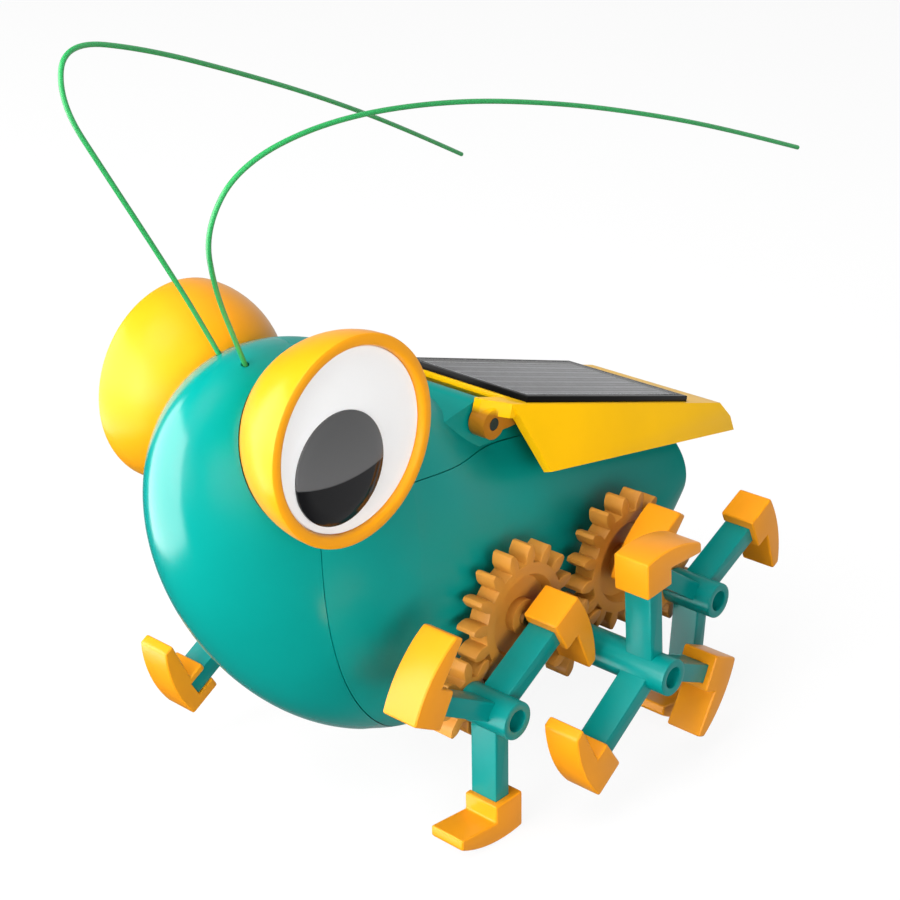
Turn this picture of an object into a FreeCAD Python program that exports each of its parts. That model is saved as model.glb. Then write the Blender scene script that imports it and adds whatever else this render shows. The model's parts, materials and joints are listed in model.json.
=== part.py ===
"""Six-legged solar walking bug: an egg-shaped body on six three-armed leg wheels, driven by a
small solar motor through spur gears, with a solar panel on a tilting wing.

Frame: +Z up, the bug faces -Y and +X is its left side. The ground is z = 0. Millimetres and degrees.
"""
import FreeCAD, Part
import math
import os
import re
import types
import Sketcher

Vector = FreeCAD.Vector
Rotation = FreeCAD.Rotation
Placement = FreeCAD.Placement

# Driving dimensions, one named cell each.
SIZES = {
    # gear train outside the body: two idler wheels a side link the three leg axles
    "gear_module": 1.06,
    "idler_teeth": 16,
    "leg_pinion_teeth": 8,
    "mesh_rise": 34.34,           # rise of the line from a leg axle up to an idler axle
    "tooth_height_share": 0.98,   # tooth tip above the pitch circle, in modules
    "tooth_root_share": 1.25,     # tooth root below the pitch circle, in modules
    "tooth_play": 0.34,           # play along the pitch circle of a coarse pair
    "gear_inner_face": 14.9,      # nearest face of an idler wheel to the mid-plane
    "idler_width": 3.0,
    "idler_web_depth": 0.9,
    "idler_rim": 1.3,             # rim between the teeth's roots and the dished web
    "idler_hub_radius": 2.3,
    "pinion_overhang": 0.3,       # each side of a leg pinion past its idler wheel
    # leg wheels
    "front_axle_y": -14.6,
    "foot_radius": 17.25,         # sole radius, which is also the height of the leg axles
    "outer_leg_offset": 21.6,     # mid-plane of the front and rear leg wheels
    "middle_leg_offset": 29.3,
    "hub_radius": 2.45,
    "hub_tip": 4.2,               # hub end beyond the leg wheel's mid-plane
    "hub_socket_radius": 1.4,
    "hub_socket_depth": 2.0,
    "arm_width": 2.5,
    "arm_inner_side": 2.3,        # arm side nearest the body, from the wheel's mid-plane
    "arm_outer_side": 1.75,
    "arm_reach": 14.8,
    "foot_width": 5.25,
    "foot_top": 12.0,
    "foot_heel": 2.8,
    "foot_front": 2.16,
    "foot_toe_root": 14.3,
    "foot_toe_top": 13.6,
    "foot_toe_reach": 8.4,
    "tenon_fit": 0.05,
    "front_leg_phase": 31.3,
    "middle_leg_phase": 95.3,
    "rear_leg_phase": 26.1,
    "side_phase": 60.0,           # right-hand leg wheels against the left-hand ones
    "axle_radius": 1.0,
    "axle_fit": 0.05,
    "press_fit": 0.01,
    "idler_axle_overhang": 0.6,
    # body shell
    "head_y": -18.25,
    "head_z": 34.0,
    "head_half_length": 28.2,
    "head_half_width": 13.5,
    "head_half_height": 26.2,
    "head_lean": -0.467,          # slope of the head's centre line, up towards the front
    "body_wall": 1.5,
    "seam_gap": 0.12,
    "cap_seam_radius": 41.4,
    "cap_seam_y": 8.8,
    "cap_seam_z": 42.0,
    "flank_seam_z": 45.2,
    "flank_seam_slope": 7.4,
    "trunk_start": 10.0,          # the trunk's sections begin this far behind the front axle
    "trunk_end": 53.0,
    "trunk_shoulder_z": 50.3,
    "trunk_front_half_width": 13.2,
    "trunk_tail_half_width": 11.9,
    "belly_z": 5.0,
    "tail_bottom_z": 19.5,
    "tail_curl": 6.0,             # how late the belly turns up into the tail
    "bush_radius": 2.4,           # bushes of the axles in the flanks
    "bush_root": 10.2,
    "bush_gap": 0.3,              # bush face to the gear beside it
    "back_gap": 1.4,              # wing underside to the back
    # eyes
    "eye_y": -30.0,
    "eye_z": 55.2,
    "eye_rim_offset": 14.8,
    "eye_cup_radius": 12.4,
    "eye_cup_sink": 0.5,          # rim plane past the cup's widest section
    "eye_cup_wall": 1.2,
    "eye_disc_radius": 10.8,
    "eye_disc_thickness": 1.2,
    "eye_disc_recess": 0.5,
    "eye_ledge": 1.2,
    "eye_fit": 0.12,
    "pupil_radius": 6.7,
    "pupil_thickness": 0.5,
    "pupil_back": -2.0,
    "pupil_down": 2.6,
    # antennae
    "antenna_radius": 0.4,
    # wing with the solar panel
    "hinge_y": -1.6,
    "hinge_z": 47.6,
    "hinge_pin_radius": 0.8,
    "hinge_pin_hold": 3.0,        # length of a pin inside the barrel
    "hinge_barrel_radius": 2.6,
    "hinge_barrel_half": 7.6,
    "hinge_side_gap": 0.3,
    "hinge_lug_width": 2.5,
    "hinge_lug_radius": 2.0,
    "hinge_lug_reach": 5.2,       # lug's end under the wing, behind the hinge
    "hinge_lug_top": 0.9,         # top of its bar above the hinge
    "hinge_lug_base": 1.2,        # bottom of its bar below the hinge
    "hinge_roof": 7.0,            # roof of the barrel runs this far forward of it
    "hinge_roof_end": 1.2,        # roof's front end above the hinge
    "wing_front_cut": 3.3,        # wing's front edge between the lugs lies this far back
    "wing_front_edge": 0.7,       # and is this thick
    "wing_front_slope": 1.0,      # length of the slope under it
    "wing_tab_reach": 3.0,        # tabs of the wing over the lugs
    "wing_tab_width": 1.1,
    "wing_tab_depth": 1.8,
    "wing_y": 0.4,
    "wing_z": 50.0,
    "wing_tilt": 16.0,
    "wing_half_width": 11.6,
    "wing_plate": 1.4,
    "wing_length": 47.8,
    "wing_tail_reach": 51.2,
    "wing_tail_corner": 50.4,
    "wing_tail_corner_drop": 1.9,
    "wing_skirt_front": 7.4,
    "wing_skirt_depth": 8.6,
    "wing_skirt_rear_depth": 3.9,
    "wing_skirt_lean": 17.0,
    "wing_skirt_wall": 1.2,
    "tray_start": 4.0,            # tray's front edge behind the wing's front edge
    "tray_length": 36.4,
    "tray_half_width": 10.7,
    "tray_height": 1.6,
    "tray_sink": 0.8,
    "tray_rim": 0.9,
    "tray_floor": 0.6,
    "tray_fit": 0.1,
    "cell_thickness": 0.4,
    # gearbox inside the body
    "plate_inner_face": 6.4,
    "plate_thickness": 1.4,
    "plate_margin": 2.1,          # plate edge past the centre of a leg axle
    "plate_top": 33.0,
    "plate_end_top": 25.5,
    "plate_notch_start": 1.15,    # wire notch in the top of a plate, behind the compound gear's pin
    "plate_notch_width": 2.4,
    "plate_notch_floor": 0.4,
    "plate_shoulder": 5.0,        # top edge past the idler axles
    "post_radius": 1.5,
    "post_foot_z": 8.6,
    "fine_module": 0.5,
    "drive_teeth": 32,
    "big_teeth": 30,
    "fine_pinion_teeth": 8,
    "fine_play": 0.16,
    "compound_rise": 24.0,        # rise of the line from the drive gear to the compound gear
    "motor_rise": 134.0,          # and from the compound gear to the motor
    "drive_gear_face": 4.2,
    "drive_gear_width": 2.0,
    "big_gear_face": 1.9,
    "big_gear_width": 1.9,
    "compound_pin_radius": 0.75,
    "compound_hub_radius": 1.3,
    "gear_side_gap": 0.2,         # gears and hubs to the plates beside them
    "motor_radius": 6.2,
    "motor_length": 6.2,
    "motor_face": 0.5,
    "motor_can_wall": 0.6,
    "motor_shaft_radius": 0.75,
    "armature_radius": 4.8,
    "armature_length": 3.4,
    "armature_gap": 0.6,          # drum to the end cap
    "motor_pinion_face": 1.6,
    "motor_pinion_width": 2.4,
    "terminal_height": 0.5,
    "terminal_width": 1.4,
    "terminal_spread": 3.4,
    "motor_cap_thickness": 1.0,
    "motor_boss_radius": 2.0,
    "motor_boss_height": 0.6,
    "collar_wall": 0.55,          # motor mount: a collar on a foot
    "collar_length": 4.9,
    "mount_half_width": 4.2,
    "mount_foot": 3.1,            # foot below the motor can
    "mount_screw_spread": 2.8,
    "mount_screw_drop": 8.0,
    "spacer_radius": 1.5,
    "screw_radius": 0.7,
    "screw_head_radius": 1.5,
    "screw_head_height": 0.9,
    "screw_depth": 4.0,
}

s = types.SimpleNamespace(**SIZES)

# Places and sizes that follow from the driving dimensions.
s.idler_pitch_radius = s.gear_module * s.idler_teeth / 2
s.pinion_pitch_radius = s.gear_module * s.leg_pinion_teeth / 2
s.gear_distance = s.idler_pitch_radius + s.pinion_pitch_radius
s.half_pitch = s.gear_distance * math.cos(math.radians(s.mesh_rise))
s.idler_z = s.foot_radius + s.gear_distance * math.sin(math.radians(s.mesh_rise))
s.middle_axle_y = s.front_axle_y + 2 * s.half_pitch
s.rear_axle_y = s.front_axle_y + 4 * s.half_pitch
s.front_idler_y = s.front_axle_y + s.half_pitch
s.rear_idler_y = s.front_axle_y + 3 * s.half_pitch
s.gear_outer_face = s.gear_inner_face + s.idler_width
s.pinion_inner_face = s.gear_inner_face - s.pinion_overhang
s.pinion_outer_face = s.gear_outer_face + s.pinion_overhang
s.drive_radius = s.fine_module * s.drive_teeth / 2
s.big_radius = s.fine_module * s.big_teeth / 2
s.fine_pinion_radius = s.fine_module * s.fine_pinion_teeth / 2
s.drive_mesh = s.drive_radius + s.fine_pinion_radius
s.compound_y = s.front_idler_y + s.drive_mesh * math.cos(math.radians(s.compound_rise))
s.compound_z = s.idler_z + s.drive_mesh * math.sin(math.radians(s.compound_rise))
s.motor_y = s.compound_y + (s.big_radius + s.fine_pinion_radius) * math.cos(math.radians(s.motor_rise))
s.motor_z = s.compound_z + (s.big_radius + s.fine_pinion_radius) * math.sin(math.radians(s.motor_rise))
s.plate_outer_face = s.plate_inner_face + s.plate_thickness
s.hinge_lug_inner = s.hinge_barrel_half + s.hinge_side_gap
s.hinge_lug_outer = s.hinge_lug_inner + s.hinge_lug_width
s.eye_centre_x = s.eye_rim_offset - s.eye_cup_sink
s.eye_disc_face = s.eye_rim_offset - s.eye_disc_recess
s.eye_disc_seat = s.eye_disc_face - s.eye_disc_thickness
s.motor_back = s.motor_face - s.motor_length
s.can_back = s.motor_back + s.motor_cap_thickness
s.bush_face = s.pinion_inner_face - s.bush_gap
s.wing_slope = math.tan(math.radians(s.wing_tilt))

doc = FreeCAD.newDocument("SolarBug")
sheet = doc.addObject("Spreadsheet::Sheet", "Sizes")
for row, (alias, number) in enumerate(vars(s).items(), start=1):
    sheet.set(f"A{row}", alias)
    sheet.set(f"B{row}", repr(number))
    sheet.setAlias(f"B{row}", alias)
doc.recompute()

nodes = {}


def cells(text):
    """Expression text with each size name turned into its cell."""
    known = vars(s)
    return re.sub(r"\b[a-z_]+\b", lambda m: "Sizes." + m.group() if m.group() in known else m.group(), str(text))


def bind(thing, **expressions):
    """Tie properties of an object to the sheet."""
    for name, text in expressions.items():
        thing.setExpression(name, cells(text))


def place(thing, x=0, y=0, z=0, rotation=None):
    """Give an object a place bound to the sheet, turned by a fixed rotation."""
    thing.Placement = Placement(Vector(), rotation or Rotation())
    for axis, text in (("x", x), ("y", y), ("z", z)):
        thing.setExpression(".Placement.Base." + axis, cells(text))
    return thing


def node(thing, name):
    """Keep an object as a finished piece under its own name."""
    thing.Label = name
    nodes[name] = thing
    return thing


def primitive(kind, name, **expressions):
    """Part primitive with its sizes bound to the sheet."""
    thing = doc.addObject("Part::" + kind, name)
    bind(thing, **expressions)
    return thing


ALONG_X = Rotation(Vector(0, 1, 0), 90)
# Turns a wheel drawn in its own XY plane so that its axis lies along X, its X along Y and its Y along Z.
WHEEL = Rotation(Vector(1, 1, 1), 120)


def rod(name, radius, x_from, x_to, y, z):
    """Round bar along X."""
    bar = primitive("Cylinder", name, Radius=radius, Height=f"({x_to}) - ({x_from})")
    return place(bar, x_from, y, z, ALONG_X)


def block(name, x_from, x_to, y_from, y_to, z_from, z_to):
    """Box between two corners."""
    box = primitive("Box", name, Length=f"({x_to}) - ({x_from})", Width=f"({y_to}) - ({y_from})",
                    Height=f"({z_to}) - ({z_from})")
    return place(box, x_from, y_from, z_from)


def cut(name, base, *tools):
    """Base less every tool."""
    tool = tools[0] if len(tools) == 1 else fuse(name + "_tools", *tools)
    result = doc.addObject("Part::Cut", name)
    result.Base = base
    result.Tool = tool
    return result


def fuse(name, *pieces):
    """Union of pieces."""
    result = doc.addObject("Part::MultiFuse", name)
    result.Shapes = list(pieces)
    return result


def common(name, *pieces):
    """What all the pieces share."""
    result = doc.addObject("Part::MultiCommon", name)
    result.Shapes = list(pieces)
    return result


def mirrored(source, name):
    """Copy of a piece across the mid-plane."""
    copy = doc.addObject("Part::Mirroring", name)
    copy.Source = source
    copy.Normal = Vector(1, 0, 0)
    return copy


def plane_of(body, role):
    """One of a body's own origin planes."""
    return next(p for p in body.Origin.OriginFeatures if p.Role == role)


def new_sketch(body, name, offset=0, role="XY_Plane"):
    """Sketch on an origin plane, lifted by an offset."""
    sketch = body.newObject("Sketcher::SketchObject", name)
    sketch.AttachmentSupport = [(plane_of(body, role), "")]
    sketch.MapMode = "FlatFace"
    sketch.setExpression(".AttachmentOffset.Base.z", cells(offset))
    return sketch


def add_circle(sketch, radius, x=0, y=0):
    """Circle with its centre and radius bound to the sheet."""
    circle = sketch.addGeometry(Part.Circle(Vector(1, 1, 0), Vector(0, 0, 1), 1.0), False)
    for kind, text in (("DistanceX", x), ("DistanceY", y)):
        constraint = sketch.addConstraint(Sketcher.Constraint(kind, -1, 1, circle, 3, 1.0))
        sketch.setExpression(f"Constraints[{constraint}]", cells(text))
    constraint = sketch.addConstraint(Sketcher.Constraint("Radius", circle, 1.0))
    sketch.setExpression(f"Constraints[{constraint}]", cells(radius))
    return circle


def add_outline(sketch, corners):
    """Closed outline of straight sides, each corner's coordinates bound to the sheet."""
    count = len(corners)
    angles = [2 * math.pi * i / count for i in range(count)]
    rough = [Vector(math.cos(angle), math.sin(angle), 0) for angle in angles]
    sides = [sketch.addGeometry(Part.LineSegment(rough[i], rough[(i + 1) % count]), False) for i in range(count)]
    for i in range(count):
        sketch.addConstraint(Sketcher.Constraint("Coincident", sides[i], 2, sides[(i + 1) % count], 1))
    for side, corner in zip(sides, corners):
        for kind, text in zip(("DistanceX", "DistanceY"), corner):
            constraint = sketch.addConstraint(Sketcher.Constraint(kind, -1, 1, side, 1, 1.0))
            sketch.setExpression(f"Constraints[{constraint}]", cells(text))
    return sides


def pad(body, sketch, name, length, reverse=False):
    """Raise a sketch."""
    feature = body.newObject("PartDesign::Pad", name)
    feature.Profile = sketch
    feature.Reversed = reverse
    bind(feature, Length=length)
    return feature


def pocket(body, sketch, name, length=None, reverse=False):
    """Cut a sketch away to a depth, or right through both ways."""
    feature = body.newObject("PartDesign::Pocket", name)
    feature.Profile = sketch
    if length is None:
        feature.Type = "ThroughAll"
        feature.Midplane = True
    else:
        feature.Reversed = reverse
        bind(feature, Length=length)
    return feature


def around(body, sketch, originals, name, count):
    """Repeat features evenly round the sketch's normal."""
    pattern = body.newObject("PartDesign::PolarPattern", name)
    pattern.Originals = originals
    pattern.Axis = (sketch, ["N_Axis"])
    pattern.Angle = 360
    bind(pattern, Occurrences=count)
    body.Tip = pattern
    return pattern


def wheel_place(body, y, z, phase):
    """Stand a wheel drawn in its own XY plane on an axis along X, turned by its phase."""
    return place(body, 0, y, z, WHEEL * Rotation(Vector(0, 0, 1), phase))


def tooth_corners(module, teeth, play, tip_share):
    """Half outline of an involute tooth as (radius, half width), from root to tip."""
    pressure = math.radians(20)
    pitch = module * teeth / 2
    base = pitch * math.cos(pressure)
    root = pitch - s.tooth_root_share * module
    tip = pitch + tip_share * module
    involute = math.tan(pressure) - pressure

    def half_width(radius):
        turn = math.acos(base / radius)
        return radius * math.sin(math.pi / (2 * teeth) - play / (4 * pitch) + involute - math.tan(turn) + turn)

    flank_start = max(base, root)
    flank = [flank_start + (tip - flank_start) * step / 3 for step in range(4)]
    foot_width = half_width(flank_start) * (0.8 if base > root else 1.0)
    return [(root * 0.97, foot_width)] + [(radius, half_width(radius)) for radius in flank]


def add_teeth(body, name, module, teeth, play, tip_share, offset, width, reverse=False):
    """Ring of teeth on a gear body."""
    half = tooth_corners(module, teeth, play, tip_share)
    outline = [(x, -w) for x, w in half] + [(x, w) for x, w in reversed(half)]
    sketch = new_sketch(body, name + "_tooth", offset)
    add_outline(sketch, outline)
    tooth = pad(body, sketch, name + "_tooth_pad", width, reverse)
    around(body, sketch, [tooth], name + "_teeth", teeth)


def spur_gear(name, module, teeth, play, tip_share, offset, width, bore, reverse=False):
    """Plain spur gear: root disc, teeth and bore."""
    body = doc.addObject("PartDesign::Body", name)
    disc = new_sketch(body, name + "_disc", offset)
    add_circle(disc, (teeth / 2 - s.tooth_root_share) * module)
    pad(body, disc, name + "_disc_pad", width, reverse)
    add_teeth(body, name, module, teeth, play, tip_share, offset, width, reverse)
    hole = new_sketch(body, name + "_bore")
    add_circle(hole, bore)
    body.Tip = pocket(body, hole, name + "_bore_cut")
    return body


def meshed_phase(phase, teeth, direction, other_teeth):
    """Phase of a gear in mesh with one of known phase, which it lies from in the given direction."""
    share = (phase - direction) * teeth / 360
    return direction + 180 + (0.5 - share) * 360 / other_teeth


# --- body shell ------------------------------------------------------------------------------

def oval(y, z, half_width, half_height):
    """Elliptical section of the body across Y."""
    circle = Part.makeCircle(1, Vector(), Vector(0, 1, 0)).toNurbs()
    stretch = FreeCAD.Matrix(half_width, 0, 0, 0, 0, 1, 0, y, 0, 0, half_height, z)
    return Part.Wire(circle.transformGeometry(stretch).Edges)


def egg(inset):
    """Body form, drawn in by an inset on every side: an oval leaning head that runs into a low trunk."""
    length = s.head_half_length - inset
    half_ball = Part.makeSphere(1, Vector(), Vector(0, 1, 0), -90, 0, 360)
    head = half_ball.transformGeometry(FreeCAD.Matrix(
        s.head_half_width - inset, 0, 0, 0, 0, length, 0, s.head_y, 0, s.head_lean * length,
        s.head_half_height - inset, s.head_z))
    trunk_length = s.trunk_end - s.trunk_start
    sections = []
    for share in (0, 0.16, 0.32):
        along = share * s.head_half_length
        half_height = s.head_half_height * math.sqrt(1 - share ** 2)
        width = s.head_half_width + (s.trunk_front_half_width - s.head_half_width) * share
        height = s.head_z + s.head_lean * along
        sections.append(oval(s.head_y + along, height, width - inset, half_height - inset))
    for share in (0, 0.26, 0.51, 0.77, 0.91, 1):
        along = share * trunk_length if share < 1 else trunk_length - inset
        y = s.front_axle_y + s.trunk_start + along
        wing_underside = s.wing_z - (y - s.wing_y) * s.wing_slope - s.wing_plate
        top = s.trunk_shoulder_z if share == 0 else wing_underside - s.back_gap
        bottom = s.belly_z + (s.tail_bottom_z - s.belly_z) * (along / trunk_length) ** s.tail_curl
        narrowing = s.trunk_tail_half_width - s.trunk_front_half_width
        width = s.trunk_front_half_width + narrowing * along / trunk_length
        sections.append(oval(y, (top + bottom) / 2, width - inset, (top - bottom) / 2 - inset))
    return head.fuse(Part.makeLoft(sections, True, False))


def form(name, shape):
    """Free-form solid worked out from the sheet's sizes."""
    feature = doc.addObject("Part::Feature", name)
    feature.Shape = shape
    return feature


outside = egg(0)
inside = egg(s.body_wall)
shell = form("shell", Part.makeSolid(Part.Compound([outside.Shells[0], inside.Shells[0].reversed()])))

eye_hollows = []
for side in (1, -1):
    hollow = primitive("Sphere", "eye_hollow", Radius="eye_cup_radius + eye_fit")
    place(hollow, f"{side} * eye_centre_x", "eye_y", "eye_z", ALONG_X)
    eye_hollows.append(hollow)

seam_inside = rod("seam_inside", "cap_seam_radius", "-40", "40", "cap_seam_y", "cap_seam_z")
seam_outside = rod("seam_outside", "cap_seam_radius + seam_gap", "-40", "40", "cap_seam_y", "cap_seam_z")
LEAN_BACK = Rotation(Vector(1, 0, 0), -s.flank_seam_slope)


def above_flank_seam(name, drop):
    """Block over the flank seam, let down by a gap."""
    over = primitive("Box", name, Length="80", Width="160", Height="60")
    return place(over, -40, "front_axle_y - 80 * cos(flank_seam_slope)",
                 f"flank_seam_z + 80 * sin(flank_seam_slope) - ({drop})", LEAN_BACK)


# Points of the antennae, root first, from the mid-plane, the front axle and the ground.
ANTENNAE = {
    "antenna_left": [(1.9, -18.9, 60.4), (2.9, -22.0, 66.3), (4.1, -25.4, 73.0), (5.3, -27.3, 80.0),
                     (7.0, -23.8, 86.6),
                     (9.4, -12.8, 89.9), (12.0, 2.6, 89.8), (14.6, 19.2, 87.2), (17.0, 35.6, 83.3),
                     (18.6, 49.8, 79.2), (20.0, 63.0, 74.9)],
    "antenna_right": [(-1.9, -18.9, 60.4), (-3.1, -21.6, 66.8), (-5.0, -25.6, 75.3), (-7.1, -30.0, 84.3),
                      (-9.0, -33.9, 92.4), (-10.6, -31.6, 98.2), (-12.4, -19.4, 95.4), (-14.6, -3.6, 90.0),
                      (-16.4, 10.4, 84.8), (-18.3, 26.2, 78.2), (-20.0, 40.7, 71.4)],
}


def tube(name, points, radius):
    """Round wire along straight runs that tangent arcs join."""
    corners = [Vector(x, y + s.front_axle_y, z) for x, y, z in points]
    edges = []
    start = corners[0]
    for before, corner, after in zip(corners, corners[1:], corners[2:]):
        back = (before - corner).normalize()
        on = (after - corner).normalize()
        turn = math.pi - back.getAngle(on)
        reach = 0.45 * min((before - corner).Length, (after - corner).Length)
        radius_of_bend = reach / math.tan(turn / 2)
        enter = corner + back * reach
        leave = corner + on * reach
        middle = (back + on).normalize()
        nearest = corner + middle * (radius_of_bend / math.cos(turn / 2) - radius_of_bend)
        edges.append(Part.LineSegment(start, enter).toShape())
        edges.append(Part.Arc(enter, nearest, leave).toShape())
        start = leave
    edges.append(Part.LineSegment(start, corners[-1]).toShape())
    path = Part.Wire(edges)
    ring = Part.Wire(Part.makeCircle(radius, corners[0], corners[1] - corners[0]))
    wire = form(name, path.makePipeShell([ring], True, True))
    straightness = wire.Shape.Volume / (math.pi * radius ** 2 * path.Length)
    print(f"{name}: {path.Length:.1f} mm long, volume against section times length {straightness:.4f}")
    return wire


antenna_holes = []
for name, points in ANTENNAE.items():
    node(tube(name, points, s.antenna_radius), name)
    root, second = (Vector(x, y + s.front_axle_y, z) for x, y, z in points[:2])
    hole = primitive("Cylinder", name + "_hole", Radius="antenna_radius + axle_fit", Height="8")
    hole.Placement = Placement(root, Rotation(Vector(0, 0, 1), second - root))
    antenna_holes.append(hole)

node(cut("head_cap", shell, seam_outside, *eye_hollows, *antenna_holes), "head_shell")

# Lower shell: holes for the bushes of the five axles and for four posts that the gearbox stands on.
axle_spots = [("front_axle_y", "foot_radius"), ("middle_axle_y", "foot_radius"), ("rear_axle_y", "foot_radius"),
              ("front_idler_y", "idler_z"), ("rear_idler_y", "idler_z")]
shell_holes = [rod("bush_hole", "bush_radius + press_fit", -20, 20, y, z) for y, z in axle_spots]
bush_bars = []
bush_bores = []
for y, z in axle_spots:
    for low, high in (("bush_root", "bush_face"), ("-bush_face", "-bush_root")):
        bush_bars.append(rod("bush_bar", "bush_radius", low, high, y, z))
        bush_bores.append(rod("bush_bore", "axle_radius + axle_fit", low, high, y, z))
node(cut("bushes", fuse("bush_bars", *bush_bars), *bush_bores), "axle_bushes")
posts = []
for y in ("front_idler_y", "rear_idler_y"):
    for side in (1, -1):
        x = f"{side} * (plate_inner_face + plate_thickness / 2)"
        post = primitive("Cylinder", "post", Radius="post_radius",
                         Height="foot_radius - plate_margin - post_foot_z")
        posts.append(place(post, x, y, "post_foot_z"))
        hole = primitive("Cylinder", "post_hole", Radius="post_radius + press_fit",
                         Height="foot_radius - plate_margin")
        shell_holes.append(place(hole, x, y, 0))
node(fuse("posts", *posts), "gearbox_posts")
trunk = common("trunk", shell, seam_inside)
over_lower = above_flank_seam("over_lower", "seam_gap")
node(cut("lower_half", trunk, over_lower, *eye_hollows, *shell_holes), "lower_shell")

# Back shell: barrel of the hinge across it, with a roof that runs into the shell.
barrel = rod("barrel", "hinge_barrel_radius", "-hinge_barrel_half", "hinge_barrel_half", "hinge_y", "hinge_z")
roof = doc.addObject("PartDesign::Body", "barrel_roof")
roof_side = new_sketch(roof, "barrel_roof_side", "-hinge_barrel_half", "YZ_Plane")
add_outline(roof_side, [
    ("hinge_y + hinge_barrel_radius", "flank_seam_z - body_wall"), ("hinge_y + hinge_barrel_radius", "hinge_z"),
    ("hinge_y", "hinge_z"), ("hinge_y", "hinge_z + hinge_barrel_radius"),
    ("hinge_y - hinge_roof", "hinge_z + hinge_roof_end"), ("hinge_y - hinge_roof", "flank_seam_z - body_wall"),
])
roof.Tip = pad(roof, roof_side, "barrel_roof_pad", "2 * hinge_barrel_half")
pin_holes = []
for side in (1, -1):
    inner = f"{side} * (hinge_barrel_half - hinge_pin_hold)"
    outer = f"{side} * (hinge_barrel_half + 1)"
    low, high = (inner, outer) if side > 0 else (outer, inner)
    pin_holes.append(rod("pin_hole", "hinge_pin_radius + press_fit", low, high, "hinge_y", "hinge_z"))
over_back = above_flank_seam("over_back", 0)
back_wall = common("back_wall", trunk, over_back)
barrel_over_seam = common("barrel_over_seam", fuse("barrel_with_roof", barrel, roof), over_back)
back_half = fuse("back_with_barrel", cut("open_back", back_wall, *eye_hollows), barrel_over_seam)
node(cut("back_half", back_half, *pin_holes), "back_shell")

# --- eyes ------------------------------------------------------------------------------------

eye_ball = primitive("Sphere", "eye_ball", Radius="eye_cup_radius")
place(eye_ball, "eye_centre_x", "eye_y", "eye_z", ALONG_X)
eye_inside = primitive("Sphere", "eye_inside", Radius="eye_cup_radius - eye_cup_wall")
place(eye_inside, "eye_centre_x", "eye_y", "eye_z", ALONG_X)
behind_ledge = rod("behind_ledge", "eye_cup_radius", 0, "eye_disc_seat - eye_ledge", "eye_y", "eye_z")
eye_chamber = common("eye_chamber", eye_inside, behind_ledge)
past_rim = rod("past_rim", "2 * eye_cup_radius", "eye_rim_offset", "eye_rim_offset + eye_cup_radius",
               "eye_y", "eye_z")
disc_seat = rod("disc_seat", "eye_disc_radius + eye_fit", "eye_disc_seat", "eye_rim_offset", "eye_y", "eye_z")
ledge_bore = rod("ledge_bore", "eye_disc_radius - eye_ledge", "eye_disc_seat - 2 * eye_ledge", "eye_rim_offset",
                 "eye_y", "eye_z")
eye_pieces = {
    "eye_cup": cut("eye_cup", eye_ball, eye_chamber, past_rim, disc_seat, ledge_bore),
    "eye_disc": rod("eye_disc", "eye_disc_radius", "eye_disc_seat", "eye_disc_face", "eye_y", "eye_z"),
    "pupil": rod("pupil", "pupil_radius", "eye_disc_face", "eye_disc_face + pupil_thickness",
                 "eye_y + pupil_back", "eye_z - pupil_down"),
}
for name, piece in eye_pieces.items():
    node(piece, name + "_left")
    node(mirrored(piece, name + "_mirror"), name + "_right")

# --- gear train outside the body ---------------------------------------------------------------

rise = s.mesh_rise
front_idler_phase = 15.0
middle_pinion_phase = meshed_phase(front_idler_phase, s.idler_teeth, -rise, s.leg_pinion_teeth)
rear_idler_phase = meshed_phase(middle_pinion_phase, s.leg_pinion_teeth, rise, s.idler_teeth)
front_pinion_phase = meshed_phase(front_idler_phase, s.idler_teeth, 180 + rise, s.leg_pinion_teeth)
rear_pinion_phase = meshed_phase(rear_idler_phase, s.idler_teeth, -rise, s.leg_pinion_teeth)

SIDES = {"left": 1, "right": -1}


def idler_gear(name, side, y, phase):
    """Idler wheel: dished web inside a toothed rim, and a hub."""
    body = spur_gear(name, s.gear_module, int(s.idler_teeth), s.tooth_play, s.tooth_height_share,
                     f"{side} * gear_inner_face", "idler_width", "axle_radius + press_fit", side < 0)
    dish = new_sketch(body, name + "_dish", f"{side} * gear_outer_face")
    add_circle(dish, "idler_pitch_radius - tooth_root_share * gear_module - idler_rim")
    add_circle(dish, "idler_hub_radius")
    body.Tip = pocket(body, dish, name + "_dish_cut", "idler_web_depth", side < 0)
    return node(wheel_place(body, y, "idler_z", phase), name)


for place_name, phase in (("front", front_idler_phase), ("rear", rear_idler_phase)):
    for side_name, side in SIDES.items():
        idler_gear(f"idler_gear_{place_name}_{side_name}", side, f"{place_name}_idler_y", phase)
    axle = rod(f"idler_axle_{place_name}", "axle_radius", "-(gear_outer_face + idler_axle_overhang)",
               "gear_outer_face + idler_axle_overhang", f"{place_name}_idler_y", "idler_z")
    node(axle, f"idler_axle_{place_name}")

# --- leg wheels --------------------------------------------------------------------------------


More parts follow.
